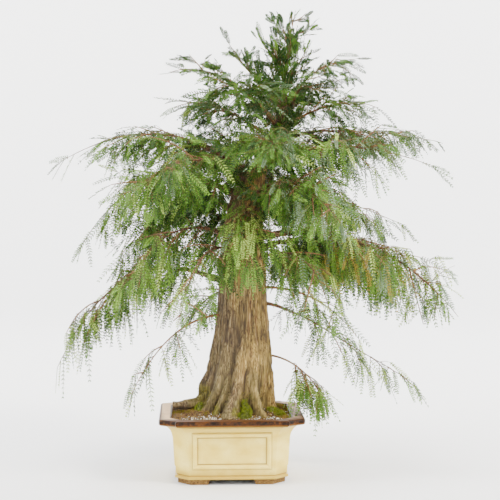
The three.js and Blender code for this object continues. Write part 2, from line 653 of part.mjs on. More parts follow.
// Twigs leave the stem by turns on either side, longest in the middle of the mass. One that
// would leave the mass's space, touch a limb or cross its neighbour is tried again, then skipped.
function buildMass(mass, index, cutter) {
  const random = seededRandom(CROWN_SEED + index);
  const pick = ([low, high]) => mix(low, high, random());
  const curve = STEMS[index];
  const fromTrunk = mass.from !== undefined;
  const bare = fromTrunk ? BARE_SHARE_FROM_TRUNK : BARE_SHARE;
  const foot = STEM_RADIUS * (fromTrunk ? TRUNK_STEM_SHARE : 1);
  const stem = taperedTube(curve, STEM_SIDES, STEM_STEPS, (share) => mix(foot, STEM_RADIUS / 2, share));
  const pieces = [stem];
  const taken = [];
  for (let spray = 0; spray < mass.sprays; spray += 1) {
    const last = spray === 0;
    const share = last ? 1 : mix(0.95, bare, (spray - 1) / (mass.sprays - 2));
    const side = spray % 2 === 0 ? 1 : -1;
    const along = curve.getTangentAt(share);
    const level = new THREE.Vector3().crossVectors(UP, along).normalize();
    const bulge = Math.sin(Math.PI * mix(...BULGE, share));
    const base = stemPoint(curve, share).addScaledVector(along, last ? -SPRAY_SUNK : 0);
    for (let attempt = 0; attempt < TRIES; attempt += 1) {
      const open = last ? 0 : THREE.MathUtils.degToRad(pick(OPEN_DEGREES));
      const lift = last ? 0 : pick(LIFT);
      const way = along.clone().multiplyScalar(Math.cos(open))
        .addScaledVector(level, side * Math.sin(open)).addScaledVector(UP, lift).normalize();
      const shrink = SHRINK ** attempt;
      const length = SPRAY_LENGTH * pick(LENGTH_SHARE) * shrink;
      const width = SPRAY_WIDTH * length / SPRAY_LENGTH;
      const reach = Math.max(mass.spread * bulge * pick(TWIG_SHARE) * shrink, SPRAY_SUNK + 1);
      const twig = last ? SPRAY_SUNK : reach;
      const hang = last ? 0 : mass.hang * pick(HANG_SHARE);
      const { tipWay, across } = sprayWays(way, hang, last ? LAST_ROLL : pick(ROLL));
      const root = base.clone().addScaledVector(way, twig);
      const probes = sprayProbes(base, root, tipWay, across, length, width);
      const free = probes.every((probe) => pointIsFree(index, probe)
        && taken.every((other) => other.distanceTo(probe) > CROSS_MARGIN));
      if (free || last) {
        pieces.push(twigWithSpray(base, root, tipWay, across, length, width));
        taken.push(...probes);
        break;
      }
    }
  }
  const whole = Manifold.union(pieces).simplify(SIMPLER);
  return largestPiece(fromTrunk ? whole.subtract(cutter) : whole);
}

// Looks
function finish(color, roughness) {
  return new THREE.MeshStandardMaterial({ color, roughness, metalness: 0 });
}

function addPiece(group, name, solid, material) {
  const mesh = new THREE.Mesh(geometryFrom(solid), material);
  mesh.name = name;
  group.add(mesh);
}

const tree = new THREE.Group();
addPiece(tree, "pot", buildPot(), finish("#e8dcb6", 0.35));
addPiece(tree, "soil", buildSoil(), finish("#5a4636", 0.95));
addPiece(tree, "trunk", buildTrunk(0), finish("#8a7452", 0.9));

// Each bough is cut clear of the trunk, and each leader clear of the leaders before it
const trunkCutter = buildTrunk(CUT_GAP);
let cutter = trunkCutter;
for (const bough of BOUGHS) {
  const limb = largestPiece(boughSolid(bough, 0).subtract(cutter));
  addPiece(tree, `bough_${bough.name}`, limb, finish("#7a5238", 0.85));
  if (bough.from === FORK) {
    cutter = cutter.add(boughSolid(bough, CUT_GAP));
  }
}
MASSES.forEach((mass, index) => {
  addPiece(tree, `foliage_${mass.name}`, buildMass(mass, index, trunkCutter), finish("#4f7d33", 0.7));
});

// The origin lies under the middle of the whole object
const bounds = new THREE.Box3().setFromObject(tree);
const middle = bounds.getCenter(new THREE.Vector3());
tree.position.set(-middle.x, -middle.y, -bounds.min.z);
tree.updateMatrixWorld(true);

export default tree;
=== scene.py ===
"""Potted bald cypress bonsai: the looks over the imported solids.

Everything is in metres in the part's own frame, +Z up and -Y the front of the pot. Sizes in the
tables are millimetres from the middle of the pot, as the source has them.
"""

import itertools
import logging
import math
from dataclasses import dataclass, field, fields
from enum import Enum

import bmesh
import bpy
import numpy as np
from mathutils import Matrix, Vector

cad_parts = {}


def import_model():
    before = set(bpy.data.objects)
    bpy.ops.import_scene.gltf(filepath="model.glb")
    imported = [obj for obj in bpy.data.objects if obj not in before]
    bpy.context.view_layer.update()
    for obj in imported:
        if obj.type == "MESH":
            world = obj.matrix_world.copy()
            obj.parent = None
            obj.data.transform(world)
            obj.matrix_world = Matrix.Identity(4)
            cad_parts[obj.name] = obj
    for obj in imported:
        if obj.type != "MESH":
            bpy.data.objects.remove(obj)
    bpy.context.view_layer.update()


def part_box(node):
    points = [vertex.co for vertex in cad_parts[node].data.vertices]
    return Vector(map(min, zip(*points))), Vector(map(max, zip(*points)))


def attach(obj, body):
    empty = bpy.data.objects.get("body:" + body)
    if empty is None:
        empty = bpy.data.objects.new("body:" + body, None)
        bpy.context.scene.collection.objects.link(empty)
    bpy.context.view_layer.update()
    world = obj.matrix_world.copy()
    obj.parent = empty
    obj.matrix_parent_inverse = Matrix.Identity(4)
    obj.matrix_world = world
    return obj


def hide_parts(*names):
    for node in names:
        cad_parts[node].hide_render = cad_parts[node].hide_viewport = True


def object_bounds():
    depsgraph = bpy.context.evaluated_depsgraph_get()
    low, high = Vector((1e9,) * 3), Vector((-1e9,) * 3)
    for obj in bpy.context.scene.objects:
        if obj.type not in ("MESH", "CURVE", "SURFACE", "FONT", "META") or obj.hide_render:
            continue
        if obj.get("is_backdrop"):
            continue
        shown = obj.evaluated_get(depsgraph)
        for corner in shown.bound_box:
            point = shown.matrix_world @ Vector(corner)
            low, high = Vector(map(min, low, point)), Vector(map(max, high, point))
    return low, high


MM = 0.001
FULL_TURN = 2 * np.pi
UP = np.array((0.0, 0.0, 1.0))
LOG = logging.getLogger("bonsai")

Array = np.ndarray
Pair = tuple[float, float]
Thing = bpy.types.Object
Tree = bpy.types.NodeTree
Material = bpy.types.Material
Socket = bpy.types.NodeSocket


class Slot(Enum):
    """Material slots of the record."""

    STONEWARE = "glazed_stoneware"
    GRIT = "potting_grit"
    TRUNK = "trunk_bark"
    BRANCH = "branch_bark"
    NEEDLES = "needles"


class Side(Enum):
    """Parts of the foliage that are joined into one piece each."""

    LEFT = "left"
    RIGHT = "right"
    FRONT = "front"
    BACK = "back"
    TOP = "top"


class Tint(Enum):
    """Plain colours that the sprays are dealt, in the order of their material slots."""

    DEEP = "#26421A"
    MID = "#45691F"
    FRESH = "#668C31"
    LIME = "#94AC50"
    GREY = "#667C5E"
    RUST = "#968236"


# Small helpers


def unit(vectors: Array) -> Array:
    """Vectors brought to length one along the last axis."""
    return vectors / np.maximum(np.linalg.norm(vectors, axis=-1, keepdims=True), 1e-9)


def mix(low: float, high: float, share: Array | float) -> Array | float:
    """A value between low and high."""
    return low + (high - low) * share


def smooth_step(low: float, high: float, at: Array) -> Array:
    """A soft step from 0 at low to 1 at high."""
    share = np.clip((at - low) / (high - low), 0, 1)
    return share * share * (3 - 2 * share)


def spoke(turn: Array | float) -> Array:
    """Level unit vectors at turns in radians."""
    return np.stack((np.cos(turn), np.sin(turn), np.zeros_like(turn)), axis=-1)


def turn_between(angle: Array, degrees: Array | float) -> Array:
    """The signed angle in radians from a compass turn."""
    return (angle - np.radians(degrees) + np.pi) % FULL_TURN - np.pi


def run_along(line: Array) -> Array:
    """The way from a line's first point to each of its points."""
    return np.concatenate(([0], np.cumsum(np.linalg.norm(np.diff(line, axis=0), axis=1))))


def read_along(line: Array, knots: Array, at: Array) -> Array:
    """A line's points read at places between its knots."""
    return np.stack([np.interp(at, knots, line[:, axis]) for axis in range(3)], axis=-1)


def bezier(start: Array, middle: Array, end: Array, shares: Array) -> Array:
    """Points on quadratic curves.

    Args:
        start, middle, end: control points, (3,) or (n, 3).
        shares: places along the curve from 0 to 1.

    Returns:
        Points as (shares, 3) or (n, shares, 3).
    """
    t = shares[:, None]
    start, middle, end = (np.expand_dims(point, -2) for point in (start, middle, end))
    return start * (1 - t) ** 2 + 2 * middle * t * (1 - t) + end * t**2


def hermite(at: Array, knots: Array, values: Array) -> Array:
    """A smooth curve through a table, read at the given places.

    Args:
        at: places to read.
        knots: places in the table.
        values: its values.

    Returns:
        The values there.
    """
    slopes = np.gradient(values, knots)
    index = np.clip(np.searchsorted(knots, at) - 1, 0, len(knots) - 2)
    span = knots[index + 1] - knots[index]
    t = np.clip((at - knots[index]) / span, 0, 1)
    bend = values[index] * (2 * t**3 - 3 * t**2 + 1) + values[index + 1] * (3 * t**2 - 2 * t**3)
    return bend + span * (slopes[index] * (t**3 - 2 * t**2 + t) + slopes[index + 1] * (t**3 - t**2))


def value_noise(points: Array, seed: int) -> Array:
    """Smooth repeatable noise.

    Args:
        points: places as (n, 3), one unit to a cell.
        seed: picks the pattern.

    Returns:
        Values from -1 to 1.
    """
    cell = np.floor(points).astype(np.int64)
    part = points - cell
    ease = part * part * (3 - 2 * part)
    total = np.zeros(len(points))
    for corner in itertools.product((0, 1), repeat=3):
        # The corner's value comes from a hash of its place
        at = cell + corner
        mixed = (at[:, 0] * 73856093) ^ (at[:, 1] * 19349663) ^ (at[:, 2] * 83492791) ^ (seed * 97531)
        mixed = ((mixed ^ (mixed >> 13)) * 1274126177) & 0xFFFFFFFF
        value = ((mixed ^ (mixed >> 15)) & 0xFFFF) / 32767.5 - 1
        total += value * np.prod(np.where(corner, ease, 1 - ease), axis=1)
    return total


def linear(colour: str) -> tuple[float, float, float, float]:
    """An sRGB hex colour as linear RGBA.

    Args:
        colour: the colour as #RRGGBB.

    Returns:
        Red, green, blue and 1.
    """
    parts = [int(colour[i : i + 2], 16) / 255 for i in (1, 3, 5)]
    red, green, blue = (p / 12.92 if p <= 0.04045 else ((p + 0.055) / 1.055) ** 2.4 for p in parts)
    return red, green, blue, 1.0


def feed(tree: Tree, node: bpy.types.Node, sources: dict) -> None:
    """Fills a node's inputs.

    Args:
        tree: the node tree.
        node: the node.
        sources: input name or number to a socket, a plain value or an sRGB hex colour.
    """
    for name, source in sources.items():
        if isinstance(source, Socket):
            tree.links.new(source, node.inputs[name])
        else:
            hexed = isinstance(source, str) and source.startswith("#")
            node.inputs[name].default_value = linear(source) if hexed else source


def add_node(
    tree: Tree, kind: str, sources: dict | None = None, stops: tuple = (), **settings
) -> bpy.types.Node:
    """Adds a node with its settings and links.

    Args:
        tree: the node tree.
        kind: the node's type name.
        sources: input name or number to a socket, a plain value or a hex colour.
        stops: places and hex colours of a colour ramp.
        settings: attributes of the node.

    Returns:
        The new node.
    """
    node = tree.nodes.new(kind)
    for name, value in settings.items():
        setattr(node, name, value)
    feed(tree, node, sources or {})
    if stops:
        elements = node.color_ramp.elements
        while len(elements) < len(stops):
            elements.new(0.5)
        for element, (place, colour) in zip(elements, stops):
            element.position, element.color = place, linear(colour)
    return node


@dataclass
class Skin:
    """Points and faces gathered for one mesh, with a finish number for each face."""

    points: list[Array] = field(default_factory=list)
    corners: list[Array] = field(default_factory=list)
    sizes: list[Array] = field(default_factory=list)
    marks: list[Array] = field(default_factory=list)
    count: int = 0

    def place(self, points: Array) -> int:
        """Adds points.

        Args:
            points: (..., 3).

        Returns:
            The number of the first.
        """
        first = self.count
        self.points.append(points.reshape(-1, 3))
        self.count += len(self.points[-1])
        return first

    def face(self, faces: Array, mark: Array | int = 0) -> None:
        """Adds faces that all have the same number of corners.

        Args:
            faces: point numbers as (n, corners).
            mark: the finish number, or one to each face.
        """
        self.corners.append(faces.ravel())
        self.sizes.append(np.full(len(faces), faces.shape[1]))
        self.marks.append(np.broadcast_to(mark, len(faces)))

    def rings(self, rings: Array, mark: int = 0, ends: bool = True) -> None:
        """Adds a skin over rings of points.

        Args:
            rings: (rings, sides, 3), or (tubes, rings, sides, 3), counterclockwise round the way along.
            mark: the finish number.
            ends: whether each end is closed by one face.
        """
        if rings.ndim == 3:
            rings = rings[None]
        tubes, steps, sides, _ = rings.shape
        number = self.place(rings) + np.arange(tubes * steps * sides).reshape(tubes, steps, sides)
        turned = np.roll(number, -1, axis=2)
        quads = np.stack((number[:, :-1], turned[:, :-1], turned[:, 1:], number[:, 1:]), axis=-1)
        self.face(quads.reshape(-1, 4), mark)
        if ends:
            self.face(number[:, 0, ::-1], mark)
            self.face(number[:, -1], mark)

    def build(self, name: str, finishes: list[Material], smooth: bool = True, shown: bool = True) -> Thing:
        """Makes the mesh object at the origin.

        Args:
            name: the piece's name.
            finishes: materials in the order of the marks.
            smooth: whether faces are shaded smooth.
            shown: whether it joins the scene, which a shape that is only copied doesn't.

        Returns:
            The object.
        """
        points, corners, sizes = (np.concatenate(part) for part in (self.points, self.corners, self.sizes))
        mesh = bpy.data.meshes.new(name)
        mesh.vertices.add(len(points))
        mesh.vertices.foreach_set("co", points.astype(np.float32).ravel())
        mesh.loops.add(len(corners))
        mesh.loops.foreach_set("vertex_index", corners.astype(np.int32))
        mesh.polygons.add(len(sizes))
        starts = np.concatenate(([0], np.cumsum(sizes)[:-1]))
        mesh.polygons.foreach_set("loop_start", starts.astype(np.int32))
        for finish in finishes:
            mesh.materials.append(finish)
        mesh.polygons.foreach_set("material_index", np.concatenate(self.marks).astype(np.int32))
        mesh.polygons.foreach_set("use_smooth", np.full(len(sizes), smooth))
        mesh.update(calc_edges=True)
        thing = bpy.data.objects.new(name, mesh)
        if shown:
            bpy.context.scene.collection.objects.link(thing)
        return thing


def tube_rings(paths: Array, radii: Array, sides: int) -> Array:
    """Rings of points round paths.

    Args:
        paths: (tubes, steps, 3).
        radii: (tubes, steps).
        sides: corners of each ring.

    Returns:
        Rings as (tubes, steps, sides, 3).
    """
    along = unit(np.gradient(paths, axis=1))
    mean = np.abs(unit(along.mean(axis=1)))
    reference = np.eye(3)[np.argmin(mean, axis=1)][:, None, :]
    side = unit(np.cross(along, reference))
    lift = np.cross(along, side)
    angle = FULL_TURN * np.arange(sides) / sides
    around = side[:, :, None] * np.cos(angle)[:, None] + lift[:, :, None] * np.sin(angle)[:, None]
    return paths[:, :, None] + around * radii[:, :, None, None]


# Finishes


@dataclass(frozen=True)
class Grain:
    """A noise over the surface: its name, its grain in millimetres along X, Y and Z, its detail."""

    name: str
    size: tuple[float, float, float]
    detail: float


@dataclass(frozen=True)
class Sum:
    """A field made of others, each times its weight."""

    name: str
    terms: tuple[tuple[str, float], ...]


@dataclass(frozen=True)
class Step:
    """A soft step over a field, from 0 at low to 1 at high."""

    over: str
    low: float
    high: float


@dataclass(frozen=True)
class Ramp:
    """Colours over a field, as places and sRGB hex colours."""

    over: str
    stops: tuple[tuple[float, str], ...]


@dataclass(frozen=True)
class Layer:
    """What lies over the layers before it, and where.

    `top` is a hex colour, a number, a ramp or layers of its own. The masks, each a step or the
    name of a field, and the strength are multiplied.
    """

    top: "str | float | Ramp | tuple[Layer, ...]"
    masks: tuple[Step | str, ...] = ()
    strength: float = 1.0


@dataclass(frozen=True)
class Finish:
    """What every finish has: its gloss, the fields that its patterns read, and its relief.

    `axes` are the object coordinates that it reads, in millimetres, and `attributes` the values
    that its piece carries. The field "upward" says how far a face looks up. The relief is the
    field that its bump follows and how deep that is in millimetres.
    """

    name: str
    roughness: float = 0.6
    ior: float = 1.5
    specular: float = 0.5
    grains: tuple[Grain, ...] = ()
    axes: str = ""
    attributes: tuple[str, ...] = ()
    upward: bool = False
    sums: tuple[Sum, ...] = ()
    relief: tuple[str, float] | None = None

    def colours(self) -> tuple[Layer, ...]:
        """Its colours, from below; each finish has its own."""
        raise NotImplementedError

    def dullness(self) -> tuple[Layer, ...]:
        """Its roughness, the same all over unless a finish says otherwise."""
        return (Layer(self.roughness),)

    def glow(self) -> tuple[Layer, ...]:
        """The light that it gives off, none unless a finish says otherwise."""
        return (Layer(0.0),)

    def read(self, tree: Tree) -> dict[str, Socket]:
        """Adds the nodes of its fields.

        Args:
            tree: the material's node tree.

        Returns:
            The fields' sockets by name.
        """
        values = {}
        place = add_node(tree, "ShaderNodeTexCoord").outputs["Object"]
        for grain in self.grains:
            scale = tuple(1 / (size * MM) for size in grain.size)
            placed = add_node(tree, "ShaderNodeMapping", {"Vector": place, "Scale": scale}).outputs[0]
            noise = {"Vector": placed, "Scale": 1.0, "Detail": grain.detail}
            values[grain.name] = add_node(tree, "ShaderNodeTexNoise", noise).outputs[0]
        for axis in self.axes:
            part = add_node(tree, "ShaderNodeSeparateXYZ", {0: place}).outputs[axis]
            scaled = add_node(tree, "ShaderNodeMath", {0: part, 1: 1 / MM}, operation="MULTIPLY")
            values[axis] = scaled.outputs[0]
        for name in self.attributes:
            values[name] = add_node(tree, "ShaderNodeAttribute", attribute_name=name).outputs["Fac"]
        if self.upward:
            facing = add_node(tree, "ShaderNodeNewGeometry").outputs["Normal"]
            values["upward"] = add_node(tree, "ShaderNodeSeparateXYZ", {0: facing}).outputs["Z"]
        for made in self.sums:
            total = 0.0
            for part, weight in made.terms:
                term = {0: values[part], 1: weight, 2: total}
                total = add_node(tree, "ShaderNodeMath", term, operation="MULTIPLY_ADD").outputs[0]
            values[made.name] = total
        return values

    def shown(self, tree: Tree, values: dict[str, Socket], layer: Layer) -> Socket | float:
        """How much of a layer shows.

        Args:
            tree: the material's node tree.
            values: the fields' sockets.
            layer: the layer with its masks and strength.

        Returns:
            The masks and the strength, multiplied.
        """
        amount = layer.strength
        for mask in layer.masks:
            if isinstance(mask, Step):
                step = {0: values[mask.over], 1: mask.low, 2: mask.high}
                mask = add_node(tree, "ShaderNodeMapRange", step, interpolation_type="SMOOTHSTEP").outputs[0]
            else:
                mask = values[mask]
            amount = add_node(tree, "ShaderNodeMath", {0: mask, 1: amount}, operation="MULTIPLY").outputs[0]
        return amount

    def laid(
        self, tree: Tree, values: dict[str, Socket], layers: tuple[Layer, ...], kind: str
    ) -> Socket | str | float:
        """Lays layers over one another.

        Args:
            tree: the material's node tree.
            values: the fields' sockets.
            layers: what is laid, from below.
            kind: RGBA for colours or FLOAT for numbers.

        Returns:
            The last mix, or the plain colour or number of a single layer.
        """
        lower, output = (6, 2) if kind == "RGBA" else (2, 0)
        below = None
        for layer in layers:
            top = layer.top
            if isinstance(top, Ramp):
                top = add_node(tree, "ShaderNodeValToRGB", {0: values[top.over]}, top.stops).outputs[0]
            elif isinstance(top, tuple):
                top = self.laid(tree, values, top, kind)
            if below is not None:
                pair = {0: self.shown(tree, values, layer), lower: below, lower + 1: top}
                top = add_node(tree, "ShaderNodeMix", pair, data_type=kind).outputs[output]
            below = top
        return below

    def material(self) -> Material:
        """Builds the node material; what is the same all over goes straight on the shader.

        Returns:
            The material.
        """
        material = bpy.data.materials.new(self.name)
        material.use_nodes = True
        tree = material.node_tree
        values = self.read(tree) if self.grains or self.axes else {}
        sources = {
            "Base Color": self.laid(tree, values, self.colours(), "RGBA"),
            "Roughness": self.laid(tree, values, self.dullness(), "FLOAT"),
            "IOR": self.ior,
            "Specular IOR Level": self.specular,
            "Emission Strength": self.laid(tree, values, self.glow(), "FLOAT"),
        }
        if self.relief:
            over, depth = self.relief
            height = {"Height": values[over], "Distance": depth * MM, "Strength": 1.0}
            sources["Normal"] = add_node(tree, "ShaderNodeBump", height).outputs[0]
        feed(tree, tree.nodes["Principled BSDF"], sources)
        return material


@dataclass(frozen=True)
class CreamGlaze(Finish):
    """Stoneware dipped in a thick satin cream glaze.

    It gives warm cloudy walls, ochre where it gathers above the foot, ochre and brown under the lip
    that are partly glaze gathered there and partly painted shade under the lip, painted shade along
    the frames and on the undersides near the ground, brown and amber where it runs thin on the lip's
    edge, and a top that is worn dull. The specks are 2 mm, coarser than real iron specks, so that
    they show.
    """

    name: str = "cream_glazed_stoneware"
    roughness: float = 0.24
    ior: float = 1.52
    specular: float = 0.14
    grains: tuple[Grain, ...] = (
        Grain("cloud", (60, 60, 40), 4), Grain("fine", (9, 9, 9), 5), Grain("speck", (2.2, 2.2, 2.2), 2),
        Grain("wear", (26, 26, 26), 6),
    )
    axes: str = "XZ"
    attributes: tuple[str, ...] = ("rim", "pool")
    upward: bool = True
    sums: tuple[Sum, ...] = (
        Sum("wavy", (("Z", 1), ("cloud", 26))), Sum("pooling", (("Z", 1), ("fine", 5))),
        Sum("breaking", (("Z", 1), ("fine", 3))), Sum("across", (("X", 0.0015), ("wear", 1))),
    )
    relief: tuple[str, float] | None = ("fine", 0.25)
    uneven_roughness: float = 0.4
    worn_roughness: float = 0.55
    lip_top: float = 175.0
    lip_bottom: float = 162.0
    foot_top: float = 24.0
    foot_bottom: float = 14.0

    def on_lip(self) -> tuple[Step, ...]:
        """Masks of the lip's flat top."""
        return Step("upward", 0.8, 0.97), Step("Z", self.lip_top - 4, self.lip_top - 1)

    def colours(self) -> tuple[Layer, ...]:
        """Cream walls, then what gathers, breaks or is worn on them, with painted shade under the lip, along
        the frames and underneath.

        Returns:
            The layers from below.
        """
        lip, foot, line = self.lip_bottom, self.foot_top, self.foot_top + 0.5
        thin = (
            Layer(Ramp("fine", ((0.34, "#0F0602"), (0.5, "#261305"), (0.7, "#54300C")))),
            Layer("#764812", (Step("Z", lip + 5, lip),), 0.6),
        )
        bare = Ramp("across", ((0.2, "#DEBA8A"), (0.45, "#BE9A6E"), (0.62, "#8A6C4E"), (0.85, "#5E4630")))
        worn = (Layer(bare), Layer("#4E3018", (Step("rim", 0.1, 0.9),)))
        near_ground = Step("Z", self.foot_bottom + 2, self.foot_bottom)
        band_line = Step("Z", line - 2.2, line - 0.6), Step("Z", line + 2.2, line + 0.6)
        return (
            Layer(Ramp("cloud", ((0.3, "#E0C24E"), (0.5, "#ECD264"), (0.7, "#F4DF7C")))),
            Layer("#B89A3A", (Step("wavy", foot + 39, foot + 3),)),  # ochre above the foot
            Layer("#A88438", (Step("wavy", lip - 17, lip + 9),), 0.45),  # ochre high in the cove: glaze gathered there, and painted shade under the lip
            Layer("#5C4318", (Step("pooling", lip - 9, lip),), 0.85),  # brown against the lip: glaze pooled there, and painted shadow under the lip
            Layer("#7C5A20", band_line, 0.6),
            Layer("#7A5930", (Step("speck", 0.69, 0.75),), 0.75),  # iron specks
            Layer(thin, (Step("breaking", lip - 0.5, lip + 1.5),)),
            Layer(worn, self.on_lip()),
            Layer("#3A2A1A", (Step("upward", -0.7, -0.95), near_ground)),  # painted shade on the undersides near the ground
            Layer("#6E4E22", ("pool",), 0.75),  # glaze gathered along the frames, and painted shade at their edges
        )

    def dullness(self) -> tuple[Layer, ...]:
        """A satin that varies a little, and a dull worn lip."""
        worn = Layer(self.worn_roughness, self.on_lip())
        return Layer(self.roughness), Layer(self.uneven_roughness, ("fine",)), worn


@dataclass(frozen=True)
class BareClay(Finish):
    """Unglazed fired stoneware, which looks sandy, dry and quite matt.

    Its grit is 3 mm, coarser than the real half millimetre, so that it shows.
    """

    name: str = "bare_fired_clay"
    roughness: float = 0.85
    grains: tuple[Grain, ...] = (Grain("grit", (3, 3, 3), 6), Grain("cloud", (30, 30, 20), 3))
    relief: tuple[str, float] | None = ("grit", 0.5)

    def colours(self) -> tuple[Layer, ...]:
        """Tan to brown, with darker clouds."""
        return (
            Layer(Ramp("grit", ((0.3, "#4A3418"), (0.5, "#735426"), (0.7, "#937238")))),
            Layer("#3E2A12", (Step("cloud", 0.5, 0.75),)),
        )


@dataclass(frozen=True)
class FibrousBark(Finish):
    """Bald cypress bark: long upright fibres, which look dry, stringy and matt.

    It is olive tan with rust strips, greyer to the left, dark brown on the young wood above and
    green at the foot. The mesh carries the furrows, and an attribute that says how deep each
    point lies, which is painted darker as shade in the furrows, pits and hollows between
    buttresses. The fibres are 3 mm wide, coarser than the real 1 mm, so that they show.
    """

    name: str = "fibrous_cypress_bark"
    roughness: float = 0.88
    grains: tuple[Grain, ...] = (
        Grain("fibre", (3, 3, 33), 5), Grain("strip", (9, 9, 126), 3), Grain("cloud", (55, 55, 150), 3),
        Grain("fleck", (3, 3, 8), 3), Grain("patch", (26, 26, 60), 2),
    )
    axes: str = "XZ"
    attributes: tuple[str, ...] = ("hollow", "moss")
    sums: tuple[Sum, ...] = (Sum("leftward", (("X", -0.004), ("cloud", 1))),)
    relief: tuple[str, float] | None = ("fibre", 1.1)

    def colours(self) -> tuple[Layer, ...]:
        """Fibres in four kinds of wood, then flecks, algae, painted shade in the furrows and hollows, and
        moss.

        Returns:
            The layers from below.
        """
        tan = Ramp("fibre", ((0.32, "#463618"), (0.45, "#8A7038"), (0.57, "#AE9048"), (0.72, "#D4BA74")))
        rust = Ramp("fibre", ((0.34, "#5A3C1E"), (0.5, "#9E7440"), (0.68, "#CFAA6E")))
        grey = Ramp("fibre", ((0.32, "#30281C"), (0.5, "#5E4E3A"), (0.72, "#8A7A5C")))
        young = Ramp("fibre", ((0.3, "#22120A"), (0.5, "#4A2A18"), (0.75, "#7C4A2C")))
        mossy = Ramp("fibre", ((0.35, "#3A380E"), (0.6, "#6A6418"), (0.8, "#88802C")))
        return (
            Layer(tan),
            Layer(rust, (Step("strip", 0.5, 0.75),)),
            Layer(grey, (Step("leftward", 0.4, 0.75),), 0.75),
            Layer(young, (Step("Z", 800, 910),)),
            Layer("#33230F", (Step("fleck", 0.54, 0.62), Step("patch", 0.4, 0.56)), 0.7),  # dark flecks
            Layer("#6A6A28", (Step("Z", 420, 180), Step("cloud", 0.42, 0.62)), 0.3),  # algae low down
            Layer("#2A1E14", ("hollow",), 0.85),  # painted shade in furrows, pits and between buttresses
            Layer(mossy, ("moss",), 0.85),
        )


@dataclass(frozen=True)
class ThinBark(Finish):
    """Thin flaking bark of boughs and twigs, half matt, with 4 mm flakes and greyer clouds."""

    name: str = "thin_branch_bark"
    roughness: float = 0.75
    grains: tuple[Grain, ...] = (Grain("flake", (4, 4, 4), 5), Grain("cloud", (45, 45, 45), 3))
    relief: tuple[str, float] | None = ("flake", 0.5)
    dark: str = "#2A1C10"
    body: str = "#563A20"
    light: str = "#8A643C"
    grey: str = "#54473A"

    def colours(self) -> tuple[Layer, ...]:
        """Brown flakes with grey clouds."""
        flakes = Ramp("flake", ((0.32, self.dark), (0.52, self.body), (0.74, self.light)))
        return Layer(flakes), Layer(self.grey, (Step("cloud", 0.52, 0.8),))


@dataclass(frozen=True)
class NeedleTissue(Finish):
    """Needles, green shoots and moss: one plain green with the low gleam of a thin waxy skin."""

    roughness: float = 0.5
    ior: float = 1.42
    specular: float = 0.25
    green: str = "#4E5420"

    def colours(self) -> tuple[Layer, ...]:
        """One green all over."""
        return (Layer(self.green),)


@dataclass(frozen=True)
class Mineral(Finish):
    """Stone or earth, dusty and matt, mottled at 3 mm, coarser than life so that it shows."""

    roughness: float = 0.85
    grains: tuple[Grain, ...] = (Grain("mottle", (3, 3, 3), 4),)
    relief: tuple[str, float] | None = ("mottle", 0.4)
    dark: str = "#20160A"
    light: str = "#4E3B1E"

    def colours(self) -> tuple[Layer, ...]:
        """Two tones, mottled."""
        return (Layer(Ramp("mottle", ((0.35, self.dark), (0.65, self.light)))),)


@dataclass(frozen=True)
class StudioPaper(Finish):
    """Matt white paper that glows a little more up the wall, which gives an even pale ground."""

    name: str = "matte_studio_paper"
    roughness: float = 0.9
    axes: str = "Z"
    glow_height: float = 2200.0
    most_glow: float = 0.4

    def colours(self) -> tuple[Layer, ...]:
        """One white all over."""
        return (Layer("#F7F7F7"),)

    def glow(self) -> tuple[Layer, ...]:
        """More light the higher it is, up to its glow height."""
        return Layer(0.0), Layer(self.most_glow, (Step("Z", 0.0, self.glow_height),))


# The tree's plan, as the source has it


@dataclass(frozen=True)
class Bough:
    """A bough: where it leaves the trunk, its tip, how far it arches and its radius."""

    start: float
    turn: float
    reach: float
    tip: float
    arch: float
    radius: float


@dataclass(frozen=True)
class Mass:
    """A mass of foliage: its tip, its half width, how far it weeps, and its start on the trunk.

    Without a start it grows from the tip of the bough of the same name. It may hang `fall` lower
    than the rule has it and stand `above` over its limb. `bare` is the limb's first share without
    growth, and `thin` how much of the growth is left out towards its tip.
    """

    side: Side
    turn: float
    reach: float
    tip: float
    spread: float
    hang: float
    start: float | None = None
    density: float = 1.0
    fall: float = 0.0
    above: float = 75.0
    bare: float = 0.0
    thin: float = 0.75


FORK = 957.0

# Height, radius, and how far the middle leans right and back
TRUNK_SECTIONS = np.array([
    (150, 99, 12, 4), (215, 92, 18, 2), (283, 84, 26, 0), (345, 77, 30, 0), (425, 70, 33, 0),
    (500, 65, 33, -2), (590, 58, 32, -4), (695, 49, 36, -6), (753, 42, 44, -8), (812, 28, 66, -10),
    (860, 21, 88, -10), (912, 18, 114, -8), (963, 15, 142, -6),
], dtype=float)

# Surface roots: compass turn, how far out they run, how high they leave the trunk, half width
ROOTS = (
    (184, 168, 130, 20), (211, 120, 120, 25), (236, 104, 70, 11), (262, 122, 150, 24), (304, 127, 130, 13),
    (342, 108, 110, 17), (35, 116, 120, 18), (85, 112, 130, 19), (135, 122, 110, 18),
)

